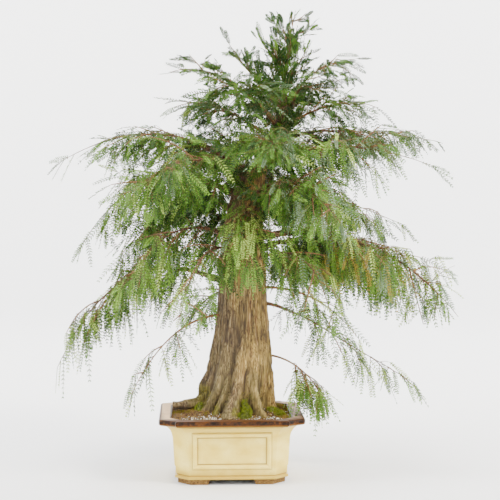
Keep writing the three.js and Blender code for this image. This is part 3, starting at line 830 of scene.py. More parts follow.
BOUGHS = {
    "low_left": Bough(495, 172, 195, 556, 14, 12),
    "left_front": Bough(622, 203, 130, 668, 10, 9),
    "mid_left": Bough(735, 166, 160, 802, 10, 12),
    "mid_left_back": Bough(690, 141, 145, 745, 10, 10),
    "upper_left": Bough(798, 188, 175, 905, 14, 11),
    "upper_left_front": Bough(770, 224, 145, 842, 12, 9),
    "upper_right": Bough(885, 15, 220, 925, 8, 9),
    "upper_right_front": Bough(830, 345, 175, 874, 6, 10),
    "mid_right": Bough(700, 18, 160, 766, -4, 9),
    "mid_right_back": Bough(752, 40, 195, 772, 12, 9),
    "low_right": Bough(628, 350, 390, 592, 44, 12),
    "low_right_back": Bough(590, 8, 170, 640, 8, 9),
    "bottom_right": Bough(468, 3, 200, 405, 16, 7),
    "front_right": Bough(555, 318, 130, 604, 10, 8),
    "front_left": Bough(575, 238, 130, 618, 10, 8),
    "upper_front": Bough(725, 306, 130, 785, 10, 9),
    "bottom_back": Bough(470, 118, 130, 486, 12, 8),
    "low_back": Bough(555, 60, 135, 600, 12, 9),
    "mid_back": Bough(640, 98, 135, 690, 12, 9),
    "upper_back": Bough(765, 72, 130, 825, 10, 9),
    "crown_top": Bough(FORK, 8, 114, 1070, 0, 11),
    "crown_left": Bough(FORK, 8, 40, 1055, 8, 9),
    "crown_right": Bough(FORK, 352, 160, 1048, 4, 8),
}

MASSES = {
    "low_left": Mass(Side.LEFT, 173, 506, 284, 108, 1.1, density=0.85, fall=60, above=22, bare=0.3, thin=1.1),
    "bottom_left": Mass(Side.LEFT, 194, 305, 235, 60, 0.7, start=428, density=0.26, bare=0.45),
    "left_front": Mass(Side.LEFT, 206, 345, 500, 95, 0.6, fall=-20),
    "mid_left": Mass(Side.LEFT, 168, 445, 620, 85, 0.6, density=1.35, above=50, thin=0.95),
    "mid_left_back": Mass(Side.LEFT, 144, 430, 545, 90, 0.55, density=1.6),
    "upper_left": Mass(Side.LEFT, 187, 474, 845, 82, 0.2, density=1.6, above=26, thin=1.25),
    "upper_left_front": Mass(Side.LEFT, 224, 410, 735, 95, 0.35, density=1.5),
    "top_left_back": Mass(
        Side.TOP, 150, 215, 990, 78, 0.25, start=900, density=1.9, fall=15, above=26, bare=0.2, thin=1.4,
    ),
    "top_left": Mass(
        Side.TOP, 192, 196, 1074, 58, 0.05, start=940, density=1.5, fall=-38, above=40, bare=0.2, thin=1,
    ),
    "upper_right": Mass(Side.RIGHT, 14, 562, 900, 85, 0.3, density=1.4, above=28, thin=0.9),
    "upper_right_front": Mass(Side.RIGHT, 344, 500, 830, 95, 0.5, density=1.3, fall=100, thin=1.1),
    "mid_right": Mass(Side.RIGHT, 18, 405, 640, 85, 0.55, density=1.3),
    "mid_right_back": Mass(Side.RIGHT, 32, 560, 664, 90, 0.55, density=0.8, above=90),
    "low_right": Mass(Side.RIGHT, 349, 568, 436, 140, 0.85, density=1.5, fall=-28, thin=0.85),
    "low_right_back": Mass(Side.RIGHT, 8, 430, 490, 120, 1, density=1.8, fall=50),
    "right_front": Mass(Side.FRONT, 332, 330, 385, 80, 0.75, start=500, density=0.3, bare=0.5),
    "bottom_right": Mass(Side.RIGHT, 2, 462, 246, 75, 0.5, density=0.28, thin=0.4),
    "bottom_right_near": Mass(
        Side.RIGHT, 345, 226, 208, 145, 1.1, start=318, density=1.5, bare=0.5, thin=0.95,
    ),
    "front_right": Mass(Side.FRONT, 312, 320, 430, 85, 0.6, density=0.5, fall=-10),
    "front_left": Mass(Side.FRONT, 240, 340, 445, 90, 0.6, density=0.45, fall=-20),
    "front": Mass(Side.FRONT, 270, 230, 560, 95, 0.6, start=700, density=1.15, bare=0.2),
    "upper_front": Mass(Side.FRONT, 306, 380, 690, 90, 0.4, density=1.9),
    "top_front": Mass(Side.FRONT, 282, 330, 870, 95, 0.25, start=850, density=2.7, bare=0.2),
    "bottom_back": Mass(Side.BACK, 120, 365, 300, 65, 0.6, density=0.4),
    "low_back": Mass(Side.BACK, 60, 410, 430, 95, 0.55, density=0.5),
    "mid_back": Mass(Side.BACK, 98, 410, 545, 95, 0.5, density=0.8),
    "upper_back": Mass(Side.BACK, 70, 405, 735, 95, 0.35, density=1.4),
    "top_back": Mass(Side.BACK, 115, 335, 860, 95, 0.25, start=865, density=1.9, bare=0.2),
    "top_right": Mass(
        Side.TOP, 354, 350, 985, 85, 0.15, start=915, density=2, fall=50, above=40, bare=0.2, thin=1.1,
    ),
    "top_front_high": Mass(
        Side.TOP, 248, 200, 1020, 95, 0.1, start=930, density=3.2, fall=60, above=40, bare=0.2, thin=0.9,
    ),
    "top_back_high": Mass(
        Side.TOP, 62, 240, 1010, 95, 0.1, start=925, density=2.6, fall=60, above=40, bare=0.2,
    ),
    "crown_top": Mass(Side.TOP, 4, 140, 1243, 78, -0.7, density=2.6),
    "crown_left": Mass(Side.TOP, 178, 45, 1165, 50, -0.3, density=1.6, thin=0.9),
    "crown_right": Mass(Side.TOP, 350, 300, 1110, 70, 0.1, density=2.2, fall=80, above=16, thin=1),
}


@dataclass(frozen=True)
class TreeForm:
    """The lines of the tree in millimetres from the pot's middle, and the rule of its spaces."""

    middle: Pair
    crown_x: float = 34.0
    ground: float = 178.0
    bough_tip_share: float = 0.42
    stem_bend: float = 0.45
    trunk_stem_bend: float = 0.6
    trunk_stem_rise: float = 45.0
    trunk_stem_radius: float = 4.7
    tip_radius: float = 0.8
    line_steps: int = 40
    pot_half: Pair = (202.0, 172.0)
    bark_clear: float = 5.0
    pot_clear: float = 12.0

    def world(self, points: Array) -> Array:
        """Millimetres from the pot's middle as metres in the part's frame."""
        return points * MM + np.array((*self.middle, 0.0))

    def centre(self, heights: Array) -> Array:
        """Middle of the trunk at heights.

        Args:
            heights: heights in millimetres.

        Returns:
            Points as (n, 3).
        """
        knots = TRUNK_SECTIONS[:, 0]
        across = [hermite(heights, knots, TRUNK_SECTIONS[:, column]) for column in (2, 3)]
        return np.stack((*across, heights), axis=-1)

    def radius(self, heights: Array) -> Array:
        """Radius of the trunk at heights."""
        return hermite(heights, TRUNK_SECTIONS[:, 0], TRUNK_SECTIONS[:, 1])

    def beside_trunk(self, points: Array) -> tuple[Array, Array]:
        """How far points lie from the trunk's middle, and its radius there."""
        heights = np.clip(points[:, 2], TRUNK_SECTIONS[0, 0], FORK)
        return np.linalg.norm((points - self.centre(heights))[:, :2], axis=1), self.radius(heights)

    def reach_point(self, turn: float, reach: float, height: float) -> Array:
        """A point at a compass turn and reach from the middle of the crown."""
        angle = math.radians(turn)
        return np.array((self.crown_x + reach * math.cos(angle), reach * math.sin(angle), height))

    def bough_line(self, name: str) -> Array:
        """Points along a bough, from the middle of the trunk to its tip.

        Args:
            name: the bough.

        Returns:
            Points as (steps, 3).
        """
        bough = BOUGHS[name]
        start = self.centre(np.array([bough.start]))[0]
        end = self.reach_point(bough.turn, bough.reach, bough.tip)
        middle = (start + end) / 2 + UP * bough.arch * 2
        return bezier(start, middle, end, np.linspace(0, 1, self.line_steps))

    def stem_line(self, name: str) -> Array:
        """Points along a mass's stem, from its bough's tip or the trunk to its own tip.

        Args:
            name: the mass.

        Returns:
            Points as (steps, 3).
        """
        mass = MASSES[name]
        end = self.reach_point(mass.turn, mass.reach, mass.tip)
        if mass.start is not None:
            start = self.centre(np.array([mass.start]))[0]
            middle = mix(start, end, self.trunk_stem_bend)
            middle[2] = max(mass.start, mass.tip) + self.trunk_stem_rise
        else:
            line = self.bough_line(name)
            start = line[-1]
            middle = start + unit(line[-1] - line[-2]) * np.linalg.norm(end - start) * self.stem_bend
        return bezier(start, middle, end, np.linspace(0, 1, self.line_steps))

    def limb(self, name: str) -> tuple[Array, Array]:
        """A whole limb as one tapering line, from the trunk's middle to its tip.

        Args:
            name: the mass.

        Returns:
            Its points and its radius at each.
        """
        stem = self.stem_line(name)
        taper = np.linspace(0, 1, len(stem)) ** 0.8
        if name not in BOUGHS:
            return stem, mix(self.trunk_stem_radius, self.tip_radius, taper)
        radius = BOUGHS[name].radius
        line = self.bough_line(name)
        thick = mix(radius, radius * self.bough_tip_share, np.linspace(0, 1, len(line)))
        thin = mix(radius * self.bough_tip_share, self.tip_radius, taper)
        return np.concatenate((line, stem[1:])), np.concatenate((thick, thin[1:]))

    def clear_of_wood(self, points: Array) -> Array:
        """True where points lie off the trunk, the pot and the soil.

        Args:
            points: (n, 3).

        Returns:
            One truth value to a point.
        """
        away, radius = self.beside_trunk(points)
        off_trunk = (away > radius * 1.05 + self.bark_clear) | (points[:, 2] > FORK + 10)
        half_x, half_y = self.pot_half
        over_pot = (np.abs(points[:, 0]) < half_x) & (np.abs(points[:, 1]) < half_y)
        return off_trunk & ~(over_pot & (points[:, 2] < self.ground + self.pot_clear))


# Sub-assemblies


def dress(thing: Thing, slot: Slot, *nodes: str) -> Thing:
    """Hands a finished piece to the frame: hides what it replaces and attaches it to its body.

    Args:
        thing: the piece.
        slot: its material slot; not used.
        nodes: the nodes that it replaces.

    Returns:
        The piece.
    """
    if nodes:
        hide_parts(*nodes)
    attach(thing, "root")
    triangles = sum(len(polygon.vertices) - 2 for polygon in thing.data.polygons)
    LOG.info("%s: %d triangles", thing.name, triangles)
    return thing


def apply_modifiers(thing: Thing) -> None:
    """Replaces an object's mesh with its evaluated one and drops the modifiers.

    Args:
        thing: the object.
    """
    graph = bpy.context.evaluated_depsgraph_get()
    made = bpy.data.meshes.new_from_object(thing.evaluated_get(graph))
    made.name = thing.name
    thing.modifiers.clear()
    thing.data = made


def soften(thing: Thing, width_mm: float, degrees: float) -> None:
    """Rounds the sharp edges of a piece and keeps its broad faces flat in the light.

    Args:
        thing: the piece.
        width_mm: how wide the rounding is.
        degrees: how sharp an edge has to be.
    """
    bevel = thing.modifiers.new("soft_edges", "BEVEL")
    bevel.width = width_mm * MM
    bevel.segments = 3
    bevel.angle_limit = math.radians(degrees)
    thing.modifiers.new("flat_faces", "WEIGHTED_NORMAL")
    apply_modifiers(thing)


def spread_values(thing: Thing, name: str, values: Array) -> None:
    """Writes one value to each point of a piece, for its finish to read."""
    attribute = thing.data.attributes.new(name, "FLOAT", "POINT")
    attribute.data.foreach_set("value", values.astype(np.float32))


@dataclass
class GlazedPot:
    """Rectangular pot with a flared lip, raised frames on its walls and bracket feet.

    A frame's profile is its inset, how far it stands out, and how dark it is there, for glaze that
    pools along its edges and for painted shade under its mouldings. A foot's is the height, how far
    its arms' ends slope, and how far it is drawn in.
    """

    form: TreeForm
    half_x: float = 190.0
    half_y: float = 160.0
    height: float = 175.0
    lip_height: float = 13.0
    lip_width: float = 33.0
    wall: float = 11.0
    foot_height: float = 14.0
    floor_top: float = 27.0
    base_inset: float = 45.0
    throat_inset: float = 39.0
    throat_height: float = 106.0
    cove_top_inset: float = 4.0
    cove_gap: float = 3.0
    cove_steps: int = 12
    band_height: float = 9.0
    band_proud: float = 4.0
    foot_span: Pair = (84.0, 68.0)
    foot_thick: float = 30.0
    foot_inset: float = 4.0
    foot_profile: tuple = ((0.0, 7.0, 1.2), (1.0, 6.0, 0.0), (10.0, 1.5, 0.0), (16.0, 0.0, 0.0))
    panel_rows: Pair = (42.0, 140.0)
    panel_margin: float = 8.0
    panel_steps: int = 14
    frame_profile: tuple = (
        (-1.6, -0.5, 0.3), (-1.4, 0.25, 0.6), (0.0, 0.35, 0.7), (1.0, 3.4, 0.05), (3.0, 6.6, 0.0),
        (5.6, 7.8, 0.0), (8.2, 7.4, 0.0), (10.6, 5.6, 0.0), (12.4, 2.4, 0.2), (13.2, 0.35, 1.0),
        (15.0, 0.25, 1.0), (15.6, 0.2, 0.1), (24.0, 0.2, 0.0), (24.2, -0.5, 0.0),
    )
    end_relief: float = 0.4
    corner_cut: float = 34.0
    body_corner: tuple = ((34.0, 0.0), (30.0, 4.0), (4.0, 30.0), (0.0, 34.0))
    lip_corner: tuple = ((45.0, 0.0), (42.0, 10.0), (3.0, 30.0), (0.0, 36.0))

    def outline(self, inset: float, height: float, share: float = 0.0, scale: float = 1.0) -> Array:
        """The pot's plan at a height, 16 points counterclockwise.

        Args:
            inset: how far the plan lies in from the lip.
            height: its height.
            share: 0 for the body's corners, 1 for the lip's.
            scale: size of the corners.

        Returns:
            Points as (16, 3).
        """
        corner = mix(np.array(self.body_corner), np.array(self.lip_corner), share) * scale
        half_x, half_y = self.half_x - inset, self.half_y - inset
        points = []
        for sign_x, sign_y, back in ((1, -1, False), (1, 1, True), (-1, 1, False), (-1, -1, True)):
            for x, y in corner[::-1] if back else corner:
                points.append((sign_x * (half_x - x), sign_y * (half_y - y), height))
        return np.array(points)

    def wall_inset(self, height: float) -> float:
        """Inset of the outer wall, up into the cove.

        Args:
            height: a height in millimetres.

        Returns:
            The inset from the lip.
        """
        share = (height - self.foot_height) / (self.throat_height - self.foot_height)
        if share <= 1:
            return mix(self.base_inset, self.throat_inset, max(share, 0))
        cove_top = self.height - self.lip_height - self.cove_gap
        rise = (height - self.throat_height) / (cove_top - self.throat_height)
        return mix(self.throat_inset, self.cove_top_inset, 1 - math.sqrt(1 - min(rise, 1) ** 2))

    def body(self, finish: Material) -> Thing:
        """Walls, cove and lip as one closed skin with softened edges.

        Args:
            finish: the glaze.

        Returns:
            The piece.
        """
        band_top = self.foot_height + self.band_height
        lip_bottom = self.height - self.lip_height
        proud = self.base_inset - self.band_proud
        rows = [
            (self.base_inset + 2, self.foot_height), (proud + 0.8, self.foot_height + 1.2),
            (proud, self.foot_height + 3.5), (proud + 0.6, band_top - 2.2),
            (self.wall_inset(band_top) + 1.6, band_top + 0.4), (self.wall_inset(band_top + 5), band_top + 5),
        ]
        for angle in np.linspace(0, math.pi / 2, self.cove_steps + 1):
            share = 1 - math.cos(angle)
            height = mix(self.throat_height, lip_bottom - self.cove_gap, math.sin(angle))
            rows.append((mix(self.throat_inset, self.cove_top_inset, share), height, share))
        rows += [
            (0.8, lip_bottom - 0.6, 1), (0, lip_bottom + 1.5, 1), (0, self.height - 2, 1),
            (2, self.height, 1), (7, self.height, 0.85, 0.98), (self.lip_width - 7, self.height, 0.15, 0.92),
            (self.lip_width - 2, self.height, 0, 0.9), (self.lip_width, self.height - 2, 0, 0.9),
            (self.lip_width, lip_bottom, 0, 0.9), (self.throat_inset + self.wall, self.throat_height, 0, 0.9),
            (self.base_inset + self.wall, self.floor_top, 0, 0.9),
        ]
        points = np.array([self.outline(*row) for row in rows])
        flat_top = slice(-7, -5)
        rim = np.ones(points.shape[:2])
        rim[flat_top] = 0.8 * smooth_step(self.half_y - 60, self.half_y - 34, -points[flat_top, :, 1])
        skin = Skin()
        skin.rings(self.form.world(points))
        thing = skin.build("pot_body", [finish])
        spread_values(thing, "rim", rim.ravel())
        soften(thing, 1.6, 28)
        return thing

    def frames(self, finish: Material) -> Thing:
        """Raised rounded frames, one to each wall, bent with it into the cove.

        Args:
            finish: the glaze.

        Returns:
            The piece.
        """
        low, high = self.panel_rows
        skin = Skin()
        pool_and_shade_values = []
        for quarter in range(4):
            on_end = quarter % 2 == 1
            half_long, half_out = (self.half_y, self.half_x) if on_end else (self.half_x, self.half_y)
            half_wide = half_long - self.base_inset - self.corner_cut - self.panel_margin
            relief = self.end_relief if on_end else 1.0
            rings = []
            for inset, proud, pool in self.frame_profile:
                rows = np.linspace(low + inset, high - inset, self.panel_steps)
                out = np.array([self.wall_inset(row) for row in rows]) - half_out - proud * relief
                right = np.stack((np.full(len(rows), half_wide - inset), out, rows), axis=-1)
                rings.append(np.concatenate((right, right[::-1] * (-1, 1, 1))))
                # Darker along the frame's edges: glaze that pools there and painted shade under the mouldings
                pool_and_shade_values += [pool] * len(rings[-1])
            spin = spoke(math.pi / 2 * quarter)
            turned = np.array(rings) @ np.stack((spin, np.cross(UP, spin), UP))
            skin.rings(self.form.world(turned), ends=False)
        thing = skin.build("pot_frames", [finish])
        spread_values(thing, "pool", np.array(pool_and_shade_values))
        soften(thing, 0.4, 30)
        return thing

    def feet(self, finish: Material) -> Thing:
        """Four bracket feet, each an L in plan whose arms slope to the ground.

        Args:
            finish: the bare clay.

        Returns:
            The piece.
        """
        out_x, out_y = (half - self.base_inset - self.foot_inset for half in (self.half_x, self.half_y))
        span_x, span_y = self.foot_span
        thick, cut = self.foot_thick, self.corner_cut
        skin = Skin()
        for sign_x, sign_y in ((-1, -1), (1, -1), (1, 1), (-1, 1)):
            rings = []
            for height, trim, draw in self.foot_profile:
                plan = [
                    (out_x - span_x + trim, out_y - thick), (out_x - thick, out_y - thick),
                    (out_x - thick, out_y - span_y + trim), (out_x - draw, out_y - span_y + trim),
                    (out_x - draw, out_y - cut), (out_x - cut, out_y - draw),
                    (out_x - span_x + trim, out_y - draw),
                ]
                ring = [(sign_x * x, sign_y * y, height) for x, y in plan]
                rings.append(ring if sign_x * sign_y > 0 else ring[::-1])
            skin.rings(self.form.world(np.array(rings)))
        thing = skin.build("pot_feet", [finish])
        soften(thing, 1.0, 30)
        return thing

    def build(self) -> None:
        """Makes and dresses the pot."""
        glaze = CreamGlaze().material()
        for thing in (self.body(glaze), self.frames(glaze), self.feet(BareClay().material())):
            dress(thing, Slot.STONEWARE, "pot")


@dataclass(frozen=True)
class BarkNoise:
    """A noise on the trunk: its grain across, its length up, its seed and how deep it goes."""

    grain: float
    length: float
    seed: int
    depth: float = 1.0


@dataclass
class FlutedTrunk:
    """The trunk with its buttresses, surface roots and bark relief.

    The channel is its turn, half width, bottom and top, and it fades below and above. The knob is
    its turn, height, half width, how far it stands out and the trunk's radius there. The long root
    is the share of its way, how far out it is and how high. A moss spot is its place and radius.
    """

    form: TreeForm
    sides: int = 320
    steps: int = 240
    sunk: float = 4.0
    flutes: int = 7
    flute_share: float = 0.035
    flare_share: float = 0.045
    flare_height: float = 90.0
    twist_height: float = 120.0
    long_root: int = 184
    long_root_swell: float = 104.0
    root_swell: float = 128.0
    root_circle: float = 95.0
    roots_leave: float = 92.0
    buttress_proud: float = 8.0
    front_turn: float = 270.0
    swing_height: float = 70.0
    lean_in: float = 12.0
    lean_turn: float = 355.0
    lean_height: float = 70.0
    between_height: float = 150.0
    between_depth: float = 9.0
    channel: tuple = (256, 6, 250, 430)
    channel_fade: Pair = (40.0, 90.0)
    channel_depth: float = 5.0
    knob: tuple = (190, 250, 17, 9, 90)
    long_root_line: tuple = ((0.0, 56.0, 68.0), (0.35, 98.0, 25.0), (0.7, 134.0, 19.0), (1.0, 168.0, 15.0))
    long_root_tip: float = 11.5
    drift: BarkNoise = BarkNoise(38, 90, 5, 6)
    furrow: BarkNoise = BarkNoise(8, 85, 1, 2.4)
    lump: BarkNoise = BarkNoise(34, 80, 4, 1.8)
    strip: BarkNoise = BarkNoise(4.6, 52, 2, 1.5)
    fibre: BarkNoise = BarkNoise(2.4, 24, 3, 1.1)
    pit: BarkNoise = BarkNoise(4.5, 14, 6, 2.2)
    pit_patch: BarkNoise = BarkNoise(30, 60, 7)
    root_steps: int = 46
    root_sides: int = 28
    moss_spots: tuple = (
        (37, -108, 205, 30), (-84, -52, 224, 44), (106, -72, 198, 30), (14, -116, 186, 16),
        (-46, -90, 196, 20), (120, 30, 196, 28), (30, 112, 200, 34), (-60, 88, 210, 36),
    )

    def surface(self, angle: Array, height: Array) -> tuple[Array, Array]:
        """Radius of the bark before its fine relief, and how deep it lies between buttresses.

        Args:
            angle: turns in radians.
            height: heights in millimetres.

        Returns:
            The radius and the depth, 0 to 1, at each point.
        """
        above = np.maximum(height - self.form.ground, 0)
        flare = self.flute_share + self.flare_share * np.exp(-above / self.flare_height)
        wave = np.cos(self.flutes * angle + height / self.twist_height)
        out = self.form.radius(height) * (1 + flare * wave)
        swell = np.zeros_like(out)
        for turn, reach, leave, half in ROOTS:
            off_front = turn - self.front_turn
            swing = off_front * 0.3 * np.clip(above / self.swing_height, 0, 1) if abs(off_front) < 60 else 0.0
            apart = turn_between(angle, turn - swing)
            width = half / self.root_circle * (0.55 + 0.4 * np.exp(-above / 30))
            fall = np.exp(-((above / (leave * 0.42)) ** 0.85))
            end = self.long_root_swell if turn == self.long_root else self.root_swell
            rise = (min(reach, end) - self.roots_leave) * fall
            rise += self.buttress_proud * np.exp(-above / (leave * 1.3))
            swell = np.maximum(swell, rise * np.exp(-np.abs(apart / width) ** 3))
        facing = np.clip(np.cos(angle - math.radians(self.lean_turn)), 0, 1)
        out -= self.lean_in * np.exp(-above / self.lean_height) * facing**1.5
        low = np.exp(-above / self.between_height)
        between = np.clip(1 - swell / self.buttress_proud, 0, 1) * low
        turn, half, bottom, top = self.channel
        apart = turn_between(angle + 0.10 * np.sin(height / 37), turn)
        below, over = self.channel_fade
        groove = np.exp(-((apart / math.radians(half)) ** 2)) * smooth_step(bottom - below, bottom, height)
        groove *= 1 - smooth_step(top, top + over, height)
        turn, level, half, proud, circle = self.knob
        apart = turn_between(angle, turn)
        knob = proud * np.exp(-((apart * circle / half) ** 2) - ((height - level) / half) ** 2)
        out += swell + knob - self.between_depth * between * low - self.channel_depth * groove
        return out, np.maximum(between * 1.2, groove).clip(0, 1)

    def relief(self, points: Array, height: Array) -> Array:
        """Bark relief in millimetres: furrows, strips and fibres that run up the trunk.

        Args:
            points: places as (n, 3).
            height: their heights.

        Returns:
            How far the bark stands out at each point.
        """
        flat = points * (1, 1, 0)
        lift = height[:, None] * UP

        def read(noise: BarkNoise) -> Array:
            """The noise at every point."""
            return value_noise(flat / noise.grain + lift / noise.length, noise.seed)

        flat = flat + read(self.drift)[:, None] * (1, 1, 0) * self.drift.depth
        furrow = smooth_step(0.76, 1.0, 1 - np.abs(read(self.furrow)))
        pit = smooth_step(0.45, 0.8, read(self.pit)) * smooth_step(-0.1, 0.5, read(self.pit_patch))
        proud = sum(noise.depth * read(noise) for noise in (self.lump, self.strip, self.fibre))
        size = np.clip(self.form.radius(height) / 60, 0.35, 1)
        return size * (proud - (self.furrow.depth * furrow + self.pit.depth * pit))

    def stem(self, skin: Skin) -> Array:
        """Adds the trunk up to its fork.

        Args:
            skin: the skin that it is added to.

        Returns:
            How deep each of its points lies, 0 to 1.
        """
        share = np.linspace(0, 1, self.steps)
        base = self.form.ground - self.sunk
        height = base + (FORK + 8 - base) * mix(share, share**1.6, 0.45)
        turns, heights = (
            grid.ravel() for grid in np.meshgrid(FULL_TURN * np.arange(self.sides) / self.sides, height)
        )
        out, creased = self.surface(turns, heights)
        centre = self.form.centre(np.clip(heights, TRUNK_SECTIONS[0, 0], FORK))
        centre[:, 2] = heights
        relief = self.relief(spoke(turns) * out[:, None], heights)
        points = centre + spoke(turns) * (out + relief)[:, None]
        skin.rings(self.form.world(points.reshape(self.steps, self.sides, 3)))
        # How deep each point lies, which the bark paints darker as shade in furrows and between buttresses
        return np.clip(0.25 - relief / 5 + creased * 0.45, 0, 1)

    def surface_root(self, skin: Skin) -> Array:
        """Adds the cut surface root on the left.

        Args:
            skin: the skin that it is added to.

        Returns:
            How deep each of its points lies, 0 to 1.
        """
        turn, _, _, half = ROOTS[0]
        way = spoke(math.radians(turn))
        start = self.form.centre(np.array([self.form.ground]))[0]
        knots, *ways = np.array(self.long_root_line).T
        share = np.linspace(0, 1, self.root_steps)
        out, rise = (hermite(share, knots, values) for values in ways)
        path = start + out[:, None] * way + rise[:, None] * UP
        path[:, 1] += -14 * np.sin(share * 2.6)
        thick = mix(half * 0.9, self.long_root_tip, share**0.6)
        rings = tube_rings(path[None], thick[None], self.root_sides)[0]
        flat = rings.reshape(-1, 3)
        grain = value_noise(flat / (20, 8, 8), 11) * 3.0 + value_noise(flat / (9, 4, 4), 12) * 1.2
        middle = np.repeat(path, self.root_sides, axis=0)
        flat = flat + unit(flat - middle) * grain[:, None]
        skin.rings(self.form.world(flat.reshape(rings.shape)))
        # Its underside is painted darker, as shade under the root
        low = np.clip((middle[:, 2] - flat[:, 2]) / 10 - 0.1, 0, 1)
        return np.clip(0.3 - grain / 5 + low, 0, 1)

    def build(self) -> Thing:
        """Makes and dresses the trunk, with its attributes hollow, for painted shade in its hollows, and
        moss.

        Returns:
            The piece.
        """
        skin = Skin()
        hollow = np.concatenate((self.stem(skin), self.surface_root(skin)))
        thing = skin.build("trunk_bark", [FibrousBark().material()])
        points = np.concatenate(skin.points) / MM
        patch = value_noise(points / (34, 34, 26), 21) + 0.5 * value_noise(points / (11, 11, 9), 22)
        points -= np.array((*self.form.middle, 0.0)) / MM
        moss = np.zeros(len(points))
        for x, y, z, radius in self.moss_spots:
            gap = np.linalg.norm((points - (x, y, z)) * (1, 1, 0.7), axis=1)
            moss = np.maximum(moss, 1 - smooth_step(radius * 0.4, radius, gap + patch * 9))
        spread_values(thing, "hollow", hollow)
        spread_values(thing, "moss", moss)
        return dress(thing, Slot.TRUNK, "trunk")


@dataclass
class BoughSet:
    """The main boughs with their bark relief, one piece each, and the stems they become."""

    form: TreeForm
    sides: int = 12
    step_mm: float = 3.2
    slimness: float = 0.82

    def limb_piece(self, name: str, finish: Material) -> Thing:
        """One limb from inside the trunk to its tip.

        Args:
            name: the bough.
            finish: its bark.

        Returns:
            The piece.
        """
        line, radius = self.form.limb(name)
        run = run_along(line)
        at = np.linspace(0, run[-1], int(run[-1] / self.step_mm))
        path = read_along(line, run, at)
        thick = np.interp(at, run, radius) * self.slimness
        seed = sum(map(ord, name))
        places = [np.stack((at / 42, at * 0, at * 0 + axis), axis=-1) for axis in range(3)]
        bend = np.stack([value_noise(place, seed) for place in places], axis=-1)
        path = path + bend * np.minimum(thick * 0.45, 2.6)[:, None]
        collar = 1 + 0.5 * np.exp(-np.maximum(at - 45, 0) / 22)
        rings = tube_rings(path[None], (thick * collar)[None], self.sides)[0]
        flat = rings.reshape(-1, 3)
        grain = value_noise(flat / 9, seed + 1) + 0.6 * value_noise(flat / 4, seed + 2)
        out = unit(flat - np.repeat(path, self.sides, axis=0))
        flat = flat + out * (grain * np.repeat(thick, self.sides) * 0.13)[:, None]
        skin = Skin()
        skin.rings(self.form.world(flat.reshape(rings.shape)))
        return skin.build(f"bough_bark_{name}", [finish])

    def build(self) -> None:
        """Makes and dresses every bough."""
        finish = ThinBark().material()
        for name in BOUGHS:
            dress(self.limb_piece(name, finish), Slot.BRANCH, f"bough_{name}")


@dataclass
class Sprays:
    """Arrays that place sprays of needles: millimetres, one row to a spray."""

    root: Array
    way: Array
    across: Array
    length: Array
    curl: Array
    tint: Array

    def chosen(self, mask: Array) -> "Sprays":
        """The sprays that a mask keeps."""
        return Sprays(*(getattr(self, part.name)[mask] for part in fields(self)))

    def joined(self, other: "Sprays") -> "Sprays":
        """These sprays and another lot."""
        pairs = ((getattr(self, part.name), getattr(other, part.name)) for part in fields(self))
        return Sprays(*(np.concatenate(pair) for pair in pairs))


@dataclass(frozen=True)
class Growth:
    """How one order of branching leaves its parents.

    Spacing, radii and slack are in millimetres, and turns in degrees. `first` is the share of the
    parent without children, `length` is times the mass's half width, `lift` tilts a child up,
    `roll` turns it about its parent, off the level, and `hang` is its part of the mass's hang.
    """

    spacing: float
    first: float
    opening: Pair
    roll: float
    length: Pair
    lift: Pair
    hang: float
    radii: Pair
    slack: float
    steps: int = 7


# Side boughs on a limb, twigs on both, and short shoots from the trunk
SIDE_BOUGHS = Growth(25, 0.03, (30, 70), 40, (0.8, 1.8), (-0.2, 0.3), 0.8, (2.2, 1.0), 26, 9)
TWIGS = Growth(16, 0.06, (30, 70), 60, (0.45, 1.05), (-0.25, 0.3), 1.9, (1.1, 0.5), 30)
TRUNK_SHOOTS = Growth(11, 0.0, (30, 80), 60, (0.9, 1.5), (-0.2, 0.2), 1.2, (1.2, 0.6), 40)


